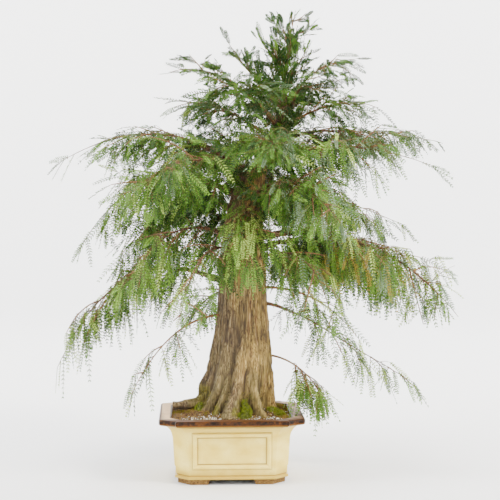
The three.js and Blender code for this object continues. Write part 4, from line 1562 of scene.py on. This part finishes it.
@dataclass
class Foliage:
    """Side boughs, twigs and sprays that grow on from the limbs by a seeded rule."""

    form: TreeForm
    seed: int = 4647
    spray_spacing: float = 13.5
    spray_length: float = 80.0
    needle_pairs: int = 11
    needle_length: float = 13.0
    needle_half_width: float = 1.7
    needle_lean: Pair = (66.0, 36.0)
    needle_twist: float = 0.6
    needle_belly: float = 0.42
    spray_opening: Pair = (25.0, 55.0)
    spray_sizes: Pair = (0.6, 1.2)
    spray_droops: Pair = (0.05, 1.5)
    spray_curls: Pair = (0.03, 0.28)
    spray_roll: float = 0.65
    short_spray: float = 0.65
    crown_spray: float = 0.55
    crown_heights: Pair = (880.0, 1200.0)
    spray_slack: float = 32.0
    full_limb: float = 260.0
    shortest: float = 20.0
    shorter_each_try: float = 0.85
    below_tip: float = 45.0
    shoots_from: float = 640.0
    tries: int = 7
    limb_steps: int = 24
    fresh_masses: tuple[str, ...] = ("front", "bottom_right_near")
    lines: dict[str, Array] = field(default_factory=dict)
    box: tuple = ()

    def __post_init__(self) -> None:
        """Samples every limb, for the rule of spaces, and keeps the solids' box."""
        self.lines = {name: self.form.limb(name)[0][::2] for name in MASSES}
        shift = np.array((*self.form.middle, 0.0))
        self.box = tuple((np.array(corner) - shift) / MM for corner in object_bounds())

    def in_space(self, name: str, points: Array, slack: float) -> Array:
        """True where points lie nearer to their own limb than to any other, clear of wood and pot.

        Args:
            name: the mass.
            points: (n, 3).
            slack: how far a point may stray into a neighbour's space.

        Returns:
            One truth value to a point.
        """
        mass = MASSES[name]
        low, high = self.box
        inside = ((points > low - 8) & (points < high + 8)).all(axis=1)
        own, others = np.zeros(len(points)), np.full(len(points), 1e9)
        for other, line in self.lines.items():
            gaps = np.linalg.norm(points[:, None] - line[None], axis=2)
            if other == name:
                own = gaps.min(axis=1)
                inside &= points[:, 2] < line[gaps.argmin(axis=1), 2] + mass.above
            else:
                others = np.minimum(others, gaps.min(axis=1))
        if mass.hang > 0:
            inside &= points[:, 2] > mass.tip - self.below_tip - mass.fall
        return (own < others + slack) & inside & self.form.clear_of_wood(points)

    def grown(self, name: str, parents: Array, growth: Growth, random: np.random.Generator) -> Array:
        """Grows one order of children along a lot of parents of equal step count.

        Args:
            name: the mass.
            parents: paths as (parents, steps, 3).
            growth: the order's rule.
            random: the mass's own numbers.

        Returns:
            Paths as (children, growth.steps, 3).
        """
        mass = MASSES[name]
        rows = []
        for parent in parents:
            run = run_along(parent)
            step = growth.spacing / mass.density**0.5
            at = np.arange(run[-1] * growth.first + step * random.uniform(0, 0.8), run[-1] - 12, step)
            at = at + random.uniform(-0.25, 0.25, len(at)) * step
            at = at[random.uniform(0, 1, len(at)) > mass.thin * smooth_step(0.35, 0.95, at / run[-1])]
            base, ahead = (read_along(parent, run, where) for where in (at, at + 8))
            side = np.where(np.arange(len(at)) % 2 == 0, 1.0, -1.0)
            rows.append((base, unit(ahead - base + 1e-6), side, at / run[-1], np.full(len(at), run[-1])))
        base, along, side, share, whole = (np.concatenate(column) for column in zip(*rows))
        level = unit(np.cross(UP, along))
        over = np.cross(along, level)
        bulge = np.sin(np.pi * mix(0.3, 0.97, share**1.1))
        size = (mass.spread * bulge) * np.clip(whole / self.full_limb, 0.6, 1)
        paths = np.zeros((len(base), growth.steps, 3))
        wanted = np.ones(len(base), dtype=bool)
        for attempt in range(self.tries):
            count = int(wanted.sum())
            if not count:
                break
            angle = np.radians(random.uniform(*growth.opening, count))
            roll = np.radians(random.normal(0, growth.roll, count))
            sideways = level[wanted] * (side[wanted] * np.cos(roll))[:, None]
            outward = sideways + over[wanted] * np.sin(roll)[:, None]
            way = along[wanted] * np.cos(angle)[:, None] + outward * np.sin(angle)[:, None]
            way = unit(way + UP * random.uniform(*growth.lift, count)[:, None])
            length = np.maximum(size[wanted] * random.uniform(*growth.length, count), self.shortest)
            length *= self.shorter_each_try**attempt
            hang = mass.hang * growth.hang * random.uniform(0.3, 1.7, count)
            tip_way = unit(way - UP * hang[:, None] + random.normal(0, 0.15, (count, 3)))
            middle = base[wanted] + way * (length * 0.45)[:, None]
            end = middle + tip_way * (length * 0.55)[:, None]
            made = bezier(base[wanted], middle, end, np.linspace(0, 1, growth.steps))
            probes = made[:, (growth.steps // 2, -1)].reshape(-1, 3)
            free = self.in_space(name, probes, growth.slack).reshape(-1, 2).all(axis=1)
            index = np.flatnonzero(wanted)[free]
            paths[index] = made[free]
            wanted[index] = False
        return paths[~wanted]

    def limb_path(self, name: str) -> Array:
        """The part of a limb that carries foliage, as one parent.

        Args:
            name: the mass.

        Returns:
            One path as (1, steps, 3).
        """
        line, _ = self.form.limb(name)
        away, radius = self.form.beside_trunk(line)
        inside = (away < radius) & (line[:, 2] < FORK)
        first = max(int(np.sum(inside)), int(len(line) * MASSES[name].bare))
        at = np.linspace(first, len(line) - 1, self.limb_steps)
        return read_along(line, np.arange(len(line)), at)[None]

    def trunk_line(self, name: str, start: float) -> Array:
        """A line up the bark beside a mass's root, that short shoots break from.

        Args:
            name: the mass.
            start: the height where its limb leaves.

        Returns:
            One path as (1, steps, 3).
        """
        heights = np.clip(np.linspace(start - 75, start + 75, self.limb_steps), self.shoots_from, FORK)
        out = self.form.radius(heights) + np.linspace(8, 38, self.limb_steps)
        return (self.form.centre(heights) + spoke(math.radians(MASSES[name].turn)) * out[:, None])[None]

    def sprays_on(self, name: str, paths: Array, random: np.random.Generator) -> Sprays:
        """Sprays on either side of each twig and one at its end, where they keep to the mass's space.

        Args:
            name: the mass.
            paths: the twigs.
            random: the mass's own numbers.

        Returns:
            The sprays.
        """
        mass = MASSES[name]
        lengths = np.linalg.norm(np.diff(paths, axis=1), axis=2).sum(axis=1)
        knots = np.linspace(0, 1, paths.shape[1])
        rows = []
        for path, length in zip(paths, lengths):
            count = max(int(length / self.spray_spacing), 1)
            share = np.append(np.linspace(0.2, 0.93, count), 1.0)
            share[:-1] += random.uniform(-0.03, 0.03, count)
            near = np.clip(share, 0, 0.93)
            root, ahead, behind = (read_along(path, knots, where) for where in (share, near + 0.07, near))
            sign = np.where(np.arange(len(share)) % 2 == 0, 1.0, -1.0)
            sign[-1] = 0.0
            rows.append((root, unit(ahead - behind), sign, share))
        root, tangent, sign, share = (np.concatenate(column) for column in zip(*rows))
        count = len(root)
        normal = unit(UP - tangent * (tangent @ UP)[:, None] + random.normal(0, 0.35, (count, 3)))
        normal = unit(normal - tangent * np.sum(normal * tangent, axis=1)[:, None])
        level = np.cross(normal, tangent)
        angle = np.radians(random.uniform(*self.spray_opening, count)) * np.abs(sign)
        way = tangent * np.cos(angle)[:, None] + level * (np.sin(angle) * sign)[:, None]
        droop = (0.1 + 1.5 * max(mass.hang, 0)) * random.uniform(*self.spray_droops, count)
        rise = 0.2 if mass.hang < 0 else 0.0
        way = unit(way - UP * (droop - rise)[:, None] + random.normal(0, 0.14, (count, 3)))
        roll = random.normal(0, self.spray_roll, count)
        across = unit(np.cross(way, normal))
        across = unit(across * np.cos(roll)[:, None] + np.cross(way, across) * np.sin(roll)[:, None])
        size = mix(1.0, self.crown_spray, smooth_step(*self.crown_heights, root[:, 2]))
        length = self.spray_length * mix(1.1, 0.8, share) * random.uniform(*self.spray_sizes, count) * size
        curl = random.uniform(*self.spray_curls, count) * (0.5 + max(mass.hang, 0))
        tint = self.tints(name, root + way * (length * 0.5)[:, None], random)
        made = Sprays(root, way, across, length, curl, tint)
        free = self.in_space(name, made.root + made.way * made.length[:, None], self.spray_slack)
        short = made.chosen(~free)
        short.length = short.length * self.short_spray
        free_short = self.in_space(name, short.root + short.way * short.length[:, None], self.spray_slack)
        return made.chosen(free).joined(short.chosen(free_short))

    def tints(self, name: str, points: Array, random: np.random.Generator) -> Array:
        """Deals each spray a tint by where it hangs, darker inside and at the back of the crown as painted
        shade.

        Args:
            name: the mass.
            points: the sprays' middles.
            random: the mass's own numbers.

        Returns:
            Tint numbers.
        """
        out = np.linalg.norm(points[:, :2] - (self.form.crown_x, 0), axis=1)
        x, y, z = points.T
        inner = 1 - smooth_step(90, 230, out)
        behind = smooth_step(20, 160, y)
        high = smooth_step(820, 980, z)
        left_front = smooth_step(-60, -200, x) * (1 - behind) * (1 - smooth_step(620, 800, z))
        right_low = smooth_step(150, 300, x) * (1 - smooth_step(640, 760, z))
        favoured = float(name in self.fresh_masses)
        fresh = np.maximum(0.6 + 0.9 * left_front + 0.7 * right_low - 0.5 * high, 0.1)
        # Deep green goes more to sprays inside and at the back of the crown, as painted shade; the lime more
        # to outer sprays, partly painted light and partly the lighter growth there
        weights = {
            Tint.DEEP: 0.6 + 1.2 * inner + 0.8 * behind + 1.6 * high - 0.45 * right_low,
            Tint.MID: np.full(len(points), 1.3),
            Tint.FRESH: fresh + 1.6 * favoured,
            Tint.LIME: 0.15 + 0.6 * (left_front + right_low) * (1 - inner) - 0.1 * high + 0.8 * favoured,
            Tint.GREY: 0.1 + 1.2 * smooth_step(60, 160, x) * smooth_step(150, 380, out),
            Tint.RUST: 0.5 * right_low * (1 - inner) * smooth_step(450, 560, z) * (1 - behind),
        }
        shares = np.stack([weights[tint] for tint in Tint], axis=1)
        steps = np.cumsum(shares, axis=1) / shares.sum(axis=1, keepdims=True)
        return (random.uniform(0, 1, len(points))[:, None] > steps).sum(axis=1)

    def spine(self, sprays: Sprays, share: Array) -> Array:
        """Points along the middle of each spray, bent down by its curl.

        Args:
            sprays: the sprays.
            share: places along them from 0 to 1.

        Returns:
            Points as (sprays, shares, 3).
        """
        out = sprays.way[:, None] * (share[None, :, None] * sprays.length[:, None, None])
        drop = (sprays.curl * sprays.length)[:, None] * share[None] ** 2
        return sprays.root[:, None] + out - UP * drop[..., None]

    def add_needles(self, skin: Skin, sprays: Sprays, random: np.random.Generator) -> None:
        """Adds the flat needles of every spray, each a lance of one flat face.

        Args:
            skin: the skin they are added to.
            sprays: the sprays.
            random: the mass's own numbers.
        """
        pairs = self.needle_pairs
        share = mix(0.06, 0.98, np.arange(pairs) / (pairs - 1))
        place = self.spine(sprays, share)
        each = place.shape[:2]
        along = unit(self.spine(sprays, share + 0.02) - place)
        normal = unit(np.cross(sprays.across[:, None], along))
        across = np.cross(along, normal)
        size = self.needle_length * np.sin(np.pi * mix(0.13, 0.86, share)) ** 0.7
        size = size[None] * (sprays.length[:, None] / self.spray_length) ** 0.5
        size = size * random.uniform(0.8, 1.1, each)
        lean = np.radians(mix(*self.needle_lean, share))[None]
        for sign in (-1.0, 1.0):
            angle = lean + random.uniform(-0.12, 0.12, each)
            out = along * np.cos(angle)[..., None] + across * (sign * np.sin(angle))[..., None]
            out = unit(out + normal * random.uniform(-0.06, 0.2, each)[..., None])
            twist = random.uniform(-self.needle_twist, self.needle_twist, each)
            flat = unit(np.cross(normal, out))
            wide = flat * np.cos(twist)[..., None] + np.cross(out, flat) * np.sin(twist)[..., None]
            half = wide * self.needle_half_width
            tip = place + out * size[..., None]
            belly = place + out * (size * self.needle_belly)[..., None]
            points = np.stack((place, belly - half, tip, belly + half), axis=2)
            first = skin.place(self.form.world(points))
            faces = first + np.arange(points.size // 3).reshape(-1, 4)
            skin.face(faces, np.repeat(sprays.tint, pairs))

    def add_tubes(
        self, skin: Skin, paths: Array, radii: Pair, sides: int = 3, mark: int = 0,
        ends: bool = True,
    ) -> None:
        """Adds tapering twigs or shoots along paths.

        Args:
            skin: the skin they are added to.
            paths: (tubes, steps, 3).
            radii: at the start and at the end.
            sides: corners of each ring.
            mark: the finish number.
            ends: whether each end is closed.
        """
        taper = np.broadcast_to(np.linspace(*radii, paths.shape[1]), paths.shape[:2])
        skin.rings(self.form.world(tube_rings(paths, taper, sides)), mark, ends)

    def grow_mass(self, name: str, leaves: Skin, wood: Skin) -> None:
        """Grows one mass into the skins of its side.

        Args:
            name: the mass.
            leaves: the needles' skin.
            wood: the twigs' skin.
        """
        random = np.random.default_rng(self.seed + list(MASSES).index(name))
        limb = self.limb_path(name)
        boughs = self.grown(name, limb, SIDE_BOUGHS, random)
        twigs = np.concatenate([self.grown(name, parents, TWIGS, random) for parents in (limb, boughs)])
        start = BOUGHS[name].start if name in BOUGHS else MASSES[name].start
        if start > self.shoots_from:
            shoots = self.grown(name, self.trunk_line(name, start), TRUNK_SHOOTS, random)
            twigs = np.concatenate((twigs, shoots))
        ends = np.linspace(0.3, 1, TWIGS.steps)
        at_tips = np.stack([bezier(path[-3], path[-2], path[-1], ends) for path in (*boughs, limb[0])])
        sprays = self.sprays_on(name, np.concatenate((twigs, at_tips)), random)
        self.add_needles(leaves, sprays, random)
        self.add_tubes(wood, boughs, SIDE_BOUGHS.radii, 4)
        self.add_tubes(wood, twigs, TWIGS.radii)
        self.add_tubes(wood, self.spine(sprays, np.linspace(0, 0.97, 3)), (1.0, 0.5), mark=1, ends=False)
        if name not in BOUGHS:
            line, radius = self.form.limb(name)
            wood.rings(self.form.world(tube_rings(line[None], radius[None], 8)))
        LOG.info("%s: %d side boughs, %d twigs, %d sprays", name, len(boughs), len(twigs), len(sprays.length))

    def build(self) -> None:
        """Makes and dresses the twigs and needles of each side."""
        twig = ThinBark("young_twig_bark", dark="#3C2A18", body="#6E4C2A", light="#9A7444").material()
        shoot = NeedleTissue("green_shoot").material()
        needles = [NeedleTissue(f"needles_{tint.name.lower()}", green=tint.value).material() for tint in Tint]
        for side in Side:
            leaves, wood = Skin(), Skin()
            names = [name for name, mass in MASSES.items() if mass.side is side]
            for name in names:
                self.grow_mass(name, leaves, wood)
            replaced = [f"foliage_{name}" for name in names]
            dress(leaves.build(f"needles_{side.value}", needles, smooth=False), Slot.NEEDLES, *replaced)
            dress(wood.build(f"twigs_{side.value}", [twig, shoot]), Slot.BRANCH)


@dataclass
class Scatter:
    """Geometry Nodes that strew copies of one small shape over a ground mesh.

    Density is to a square metre, `share` names the attribute that thins it, and copies that are
    flat lean only a little.
    """

    name: str
    density: float
    seed: int
    smallest: float
    largest: float
    share: str = ""
    flat: bool = False

    def tree(self, inputs: dict[str, str]) -> bpy.types.GeometryNodeTree:
        """The node tree with its named inputs.

        Args:
            inputs: label to socket kind, besides the geometry.

        Returns:
            The tree.
        """
        tree = bpy.data.node_groups.new(f"strew_{self.name}", "GeometryNodeTree")
        for label, kind in {"Geometry": "Geometry", **inputs}.items():
            tree.interface.new_socket(label, in_out="INPUT", socket_type=f"NodeSocket{kind}")
        tree.interface.new_socket("Geometry", in_out="OUTPUT", socket_type="NodeSocketGeometry")
        given = add_node(tree, "NodeGroupInput").outputs
        density = given["Density"]
        if self.share:
            named = add_node(tree, "GeometryNodeInputNamedAttribute", {"Name": self.share}, data_type="FLOAT")
            weighed = {0: density, 1: named.outputs[0]}
            density = add_node(tree, "ShaderNodeMath", weighed, operation="MULTIPLY").outputs[0]
        spread = {"Mesh": given["Geometry"], "Density": density, "Seed": given["Seed"]}
        spots = add_node(tree, "GeometryNodeDistributePointsOnFaces", spread).outputs
        shape = add_node(tree, "GeometryNodeObjectInfo", {"Object": given["Shape"]}).outputs["Geometry"]
        lean = 0.35 if self.flat else 3.1
        turns = {0: (-lean, -lean, 0.0), 1: (lean, lean, 6.28), "Seed": given["Seed"]}
        spin = add_node(tree, "FunctionNodeRandomValue", turns, data_type="FLOAT_VECTOR").outputs[0]
        turned = {"Rotation": spots["Rotation"], "Rotate By": spin}
        turned = add_node(tree, "FunctionNodeRotateEuler", turned, space="LOCAL").outputs[0]
        sizes = {2: given["Smallest"], 3: given["Largest"], "Seed": given["Seed"]}
        size = add_node(tree, "FunctionNodeRandomValue", sizes, data_type="FLOAT").outputs[1]
        copies = {"Points": spots["Points"], "Instance": shape, "Rotation": turned, "Scale": size}
        copies = add_node(tree, "GeometryNodeInstanceOnPoints", copies).outputs[0]
        real = add_node(tree, "GeometryNodeRealizeInstances", {0: copies}).outputs[0]
        dressed = add_node(tree, "GeometryNodeSetMaterial", {0: real, "Material": given["Finish"]}).outputs[0]
        add_node(tree, "NodeGroupOutput", {0: dressed})
        return tree

    def over(self, ground: Thing, shape: Thing, finish: Material) -> Thing:
        """Strews the shape over a ground.

        Args:
            ground: what they lie on.
            shape: what is copied.
            finish: its material.

        Returns:
            The plain mesh of all copies.
        """
        inputs = {
            "Shape": ("Object", shape), "Density": ("Float", self.density), "Seed": ("Int", self.seed),
            "Smallest": ("Float", self.smallest), "Largest": ("Float", self.largest),
            "Finish": ("Material", finish),
        }
        carrier = bpy.data.objects.new(self.name, ground.data)
        bpy.context.scene.collection.objects.link(carrier)
        modifier = carrier.modifiers.new("strew", "NODES")
        modifier.node_group = self.tree({label: kind for label, (kind, _) in inputs.items()})
        for item in modifier.node_group.interface.items_tree:
            if item.in_out == "INPUT" and item.name in inputs:
                modifier[item.identifier] = inputs[item.name][1]
        apply_modifiers(carrier)
        return carrier


@dataclass
class GritBed:
    """Soil with grit, fallen needles and moss, inside the pot's rim."""

    form: TreeForm
    pot: GlazedPot
    edge: float = 167.0
    top: float = 177.7
    clear: float = 0.6
    rounds: int = 46
    around: int = 160
    cushion_sides: int = 22
    cushion_spots: tuple = (
        (36, -104, 12, 17), (38, -97, 11, 30), (34, -93, 8, 42), (28, -110, 11, 10), (104, -70, 11, 20),
        (114, -60, 13, 12), (122, -74, 16, 7), (-84, -58, 10, 26), (62, 96, 18, 12), (-54, 92, 20, 12),
    )
    # Name, the attribute that deals it, how many to a square metre, seed, sizes in mm, dark and light
    grits: tuple = (
        ("grit_pale", "pale", 45000, 61, 2.5, 6.0, "#9C9484", "#E6E0D2"),
        ("grit_tan", "grit", 60000, 62, 2.5, 6.0, "#544019", "#8E7036"),
        ("grit_dark", "grit", 70000, 63, 2.5, 6.5, "#24170C", "#5A4024"),
        ("grit_green", "pale", 22000, 64, 2.5, 5.0, "#4E5B48", "#8C9A84"),
    )
    # What else is strewn, as for Scatter
    fallen_rule: tuple = ("fallen_needles", 90000, 65, 0.7, 1.6, "litter", True)
    bright_rule: tuple = ("moss_bright", 60000, 66, 4.0, 8.0, "", True)
    # Name, what it grows on, how many to a square metre, seed and sizes in mm
    mosses: tuple = (
        ("moss_ground", "ground", 60000, 67, 2.4, 4.6), ("moss_bark", "trunk", 30000, 68, 2.0, 4.0),
    )

    def mound(self, points: Array) -> Array:
        """Height of the soil at points in plan.

        Args:
            points: (n, 3).

        Returns:
            Heights in millimetres.
        """
        half_x = self.pot.half_x - self.pot.lip_width
        half_y = self.pot.half_y - self.pot.lip_width
        x, y = np.abs(points[:, 0]), np.abs(points[:, 1])
        from_cut = (half_x + half_y - self.pot.corner_cut - x - y) / math.sqrt(2)
        inward = np.minimum(np.minimum(half_x - x, half_y - y), from_cut)
        rise = np.interp(inward, (0, 13, 27, 52), (self.edge + 2, self.top - 3, self.top, self.top + 9))
        flat = points * (1, 1, 0)
        lumps = 1.6 * value_noise(flat / 24, 31) + 0.9 * value_noise(flat / 8, 32)
        return rise + lumps * smooth_step(0, 14, inward)

    def ground(self, finish: Material) -> Thing:
        """The soil's closed skin: the mound, and its sides down inside the pot.

        Args:
            finish: the soil.

        Returns:
            The piece, with the attributes of its litter.
        """
        rim = self.pot.outline(self.pot.lip_width + self.clear, 0, 0, 0.9)[np.r_[0:16, 0]]
        run = run_along(rim)
        edge = read_along(rim, run, np.linspace(0, run[-1], self.around, endpoint=False))
        rings = [edge * (0.93, 0.93, 1) + UP * (self.edge - 30), edge + UP * (self.edge - 5)]
        for share in np.linspace(1, 0.02, self.rounds):
            ring = edge * (share, share, 0)
            ring[:, 2] = self.mound(ring)
            rings.append(ring)
        skin = Skin()
        skin.rings(self.form.world(np.array(rings)))
        thing = skin.build("soil_bed", [finish])
        self.deal(thing, np.concatenate(skin.points) / MM - np.array((*self.form.middle, 0.0)) / MM)
        return thing

    def deal(self, thing: Thing, points: Array) -> None:
        """Writes where each kind of litter lies as attributes of the ground.

        Args:
            thing: the ground.
            points: its points in millimetres.
        """
        x, y, z = points.T
        out = np.linalg.norm(points[:, :2] - (16, 3), axis=1)
        open_ground = smooth_step(84, 100, out) * (z > self.edge + 0.5)
        left = smooth_step(-60, -110, x)
        right = smooth_step(70, 110, x)
        patch = value_noise(points / 22, 33)
        table = {
            "grit": np.clip(0.55 + 0.4 * patch, 0.1, 1),
            "pale": np.clip(0.08 + 1.1 * smooth_step(-100, -118, y) + 0.4 * patch - 0.3 * left, 0.02, 1),
            "litter": np.clip(0.35 + 0.7 * left - 0.7 * patch, 0, 1),
            "moss": np.clip(0.7 * right - 1.8 * patch - 0.05 - 0.6 * smooth_step(-108, -120, y), 0, 1),
        }
        for name, values in table.items():
            spread_values(thing, name, open_ground * values)

    def pebble(self) -> Thing:
        """A rough angular stone, a millimetre across before it is scaled.

        Returns:
            The shape, outside the scene.
        """
        mesh = bpy.data.meshes.new("pebble_shape")
        form = bmesh.new()
        bmesh.ops.create_icosphere(form, subdivisions=1, radius=0.5 * MM)
        for vertex in form.verts:
            place = np.array(vertex.co)[None] / MM
            vertex.co *= 1 + 0.3 * float(value_noise(place * 3.1, 41)[0])
            vertex.co.z *= 0.72
        form.to_mesh(mesh)
        form.free()
        return bpy.data.objects.new(mesh.name, mesh)

    def fallen(self) -> Thing:
        """A thin bent needle, 9 mm long and pointed, lying along X.

        Returns:
            The shape, outside the scene.
        """
        share = np.linspace(0, 1, 4)
        path = np.stack((2.0 * share**2, share * 0, 9.0 * share), axis=-1)[None]
        rings = tube_rings(path, (0.55 * (1 - 0.9 * share**1.5))[None], 3)
        skin = Skin()
        # X and Z change places, which mirrors it, so each ring is turned round as well
        skin.rings(rings[:, :, ::-1, ::-1] * (1, 1, 0.4) * MM)
        return skin.build("needle_shape", [], shown=False)

    def tuft(self) -> Thing:
        """A tuft of moss: a few short blades that lean apart.

        Returns:
            The shape, outside the scene.
        """
        share = np.linspace(0, 1, 3)
        skin = Skin()
        for turn in FULL_TURN * np.arange(5) / 5:
            path = (spoke(turn) * 0.5 * share[:, None] ** 1.3 + UP * share[:, None])[None]
            skin.rings(tube_rings(path, (0.16 * (1 - 0.85 * share))[None], 3) * MM)
        return skin.build("tuft_shape", [], shown=False)

    def cushions(self, finish: Material) -> Thing:
        """Low cushions of moss against the trunk's foot, as domes.

        Args:
            finish: the moss bed.

        Returns:
            The piece.
        """
        around = spoke(FULL_TURN * np.arange(self.cushion_sides) / self.cushion_sides)
        skin = Skin()
        for x, y, radius, height in self.cushion_spots:
            rings = []
            for angle in np.linspace(0, 0.97, 9) * np.pi / 2:
                level = self.top - 4 + (height + 4) * math.sin(angle)
                ring = (x, y, level) + around * radius * math.cos(angle)
                rough = value_noise(ring / 6, 51) * 1.8
                ring[:, :2] += (ring[:, :2] - (x, y)) / radius * rough[:, None]
                ring[:, 2] += rough * math.sin(angle)
                rings.append(ring)
            skin.rings(self.form.world(np.array(rings)))
        return skin.build("moss_cushions", [finish])

    def build(self, trunk: Thing) -> None:
        """Makes and dresses the soil and all that lies on it.

        Args:
            trunk: the trunk, which moss grows on.
        """
        ground = self.ground(Mineral("dark_potting_soil", roughness=0.95).material())
        pebble = self.pebble()
        for name, share, density, seed, small, large, dark, light in self.grits:
            stone = Mineral(f"{name}_stone", dark=dark, light=light).material()
            dress(Scatter(name, density, seed, small, large, share).over(ground, pebble, stone), Slot.GRIT)
        rust = ThinBark("fallen_needles", dark="#56340F", body="#8C5E26", light="#B88A42").material()
        dress(Scatter(*self.fallen_rule).over(ground, self.fallen(), rust), Slot.GRIT)
        bright = NeedleTissue("cushion_moss", roughness=0.8, green="#667018").material()
        olive = NeedleTissue("star_moss", roughness=0.8, green="#6C6016").material()
        beds = self.cushions(Mineral("moss_bed", roughness=0.95, dark="#3A3E10", light="#5A641A").material())
        tuft = self.tuft()
        dress(Scatter(*self.bright_rule).over(beds, tuft, bright), Slot.GRIT)
        dress(beds, Slot.GRIT)
        for name, where, density, seed, small, large in self.mosses:
            strew = Scatter(name, density, seed, small, large, "moss", flat=True)
            dress(strew.over(ground if where == "ground" else trunk, tuft, olive), Slot.GRIT)
        dress(ground, Slot.GRIT, "soil")


@dataclass
class Studio:
    """Camera, soft lights and a pale paper bowl, none of them part of the object."""

    form: TreeForm
    eye: tuple[float, float, float] = (-106.4, -3511.5, 797.8)
    yaw: float = 2.58
    pitch: float = 3.109
    focal_pixels: float = 1320.0
    picture_pixels: float = 500.0
    sensor: float = 36.0
    floor_reach: float = 4.4
    curve: float = 2.6
    wall_height: float = 10.0
    panels: int = 96
    middle_radius: float = 0.5
    ambient: float = 0.34
    # Name, place, size, power, what it is aimed at and its colour
    lights: tuple = (
        ("key_panel", (3.0, -2.1, 3.1), 1.1, 310, (0.0, 0.0, 0.6), "#FFF8EC"),
        ("fill_panel", (-3.2, -1.5, 2.9), 1.4, 110, (0.0, 0.0, 0.6), "#FFFFFF"),
        ("top_panel", (-0.2, -0.8, 3.9), 1.4, 150, (0.0, 0.0, 0.6), "#FFFFFF"),
        ("backdrop_panel_left", (-3.2, 1.2, 3.4), 2.0, 450, (-1.6, 7.0, 1.6), "#FFFFFF"),
        ("backdrop_panel_right", (3.2, 1.2, 3.4), 2.0, 450, (1.6, 7.0, 1.6), "#FFFFFF"),
    )

    def camera(self) -> None:
        """The camera where the photograph was taken from."""
        data = bpy.data.cameras.new("camera")
        data.sensor_width = self.sensor
        data.lens = self.focal_pixels * self.sensor / self.picture_pixels
        thing = bpy.data.objects.new("camera", data)
        thing.location = self.form.world(np.array(self.eye))
        thing.rotation_euler = (math.radians(90 - self.pitch), 0, math.radians(-self.yaw))
        bpy.context.scene.collection.objects.link(thing)
        bpy.context.scene.camera = thing

    def bowl(self) -> None:
        """A pale floor that curves up into a softly glowing wall on every side."""
        rise = np.radians(np.linspace(0, 90, 13))
        bend = self.floor_reach + self.curve * np.sin(rise)
        radius = np.array((self.middle_radius, *bend, self.floor_reach + self.curve))
        height = np.array((0.0, *(self.curve * (1 - np.cos(rise))), self.wall_height))
        turn = FULL_TURN * np.arange(self.panels) / self.panels
        rings = spoke(turn) * radius[:, None, None] + UP * height[:, None, None]
        skin = Skin()
        skin.rings(rings[::-1], ends=False)
        skin.face(np.arange(skin.count - self.panels, skin.count)[None])
        skin.build("studio_bowl", [StudioPaper().material()])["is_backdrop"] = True

    def light(self, name: str, place: tuple, size: float, power: float, aim: tuple, colour: str) -> None:
        """A large soft panel.

        Args:
            name: its name.
            place: where it hangs.
            size: its side.
            power: its watts.
            aim: the point it faces.
            colour: its hex colour.
        """
        data = bpy.data.lights.new(name, "AREA")
        data.shape = "SQUARE"
        data.size = size
        data.energy = power
        data.color = linear(colour)[:3]
        thing = bpy.data.objects.new(name, data)
        thing.location = place
        way = np.array(aim) - np.array(place)
        flat = math.hypot(way[0], way[1])
        thing.rotation_euler = (math.atan2(flat, -way[2]), 0, math.atan2(way[1], way[0]) - math.pi / 2)
        bpy.context.scene.collection.objects.link(thing)

    def build(self) -> None:
        """Sets up the whole studio."""
        self.camera()
        self.bowl()
        for row in self.lights:
            self.light(*row)
        world = bpy.data.worlds.new("studio_world")
        bpy.context.scene.world = world
        world.use_nodes = True
        background = world.node_tree.nodes["Background"]
        feed(world.node_tree, background, {"Color": "#FFFFFF", "Strength": self.ambient})


def main() -> None:
    """Builds the studio and the tree."""
    logging.basicConfig(level=logging.INFO, format="%(name)s %(message)s")
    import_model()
    low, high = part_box("pot")
    form = TreeForm(middle=((low.x + high.x) / 2, (low.y + high.y) / 2))
    Studio(form).build()
    foliage = Foliage(form)
    pot = GlazedPot(form)
    pot.build()
    trunk = FlutedTrunk(form).build()
    BoughSet(form).build()
    foliage.build()
    GritBed(form, pot).build(trunk)


if __name__ == "__main__":
    main()
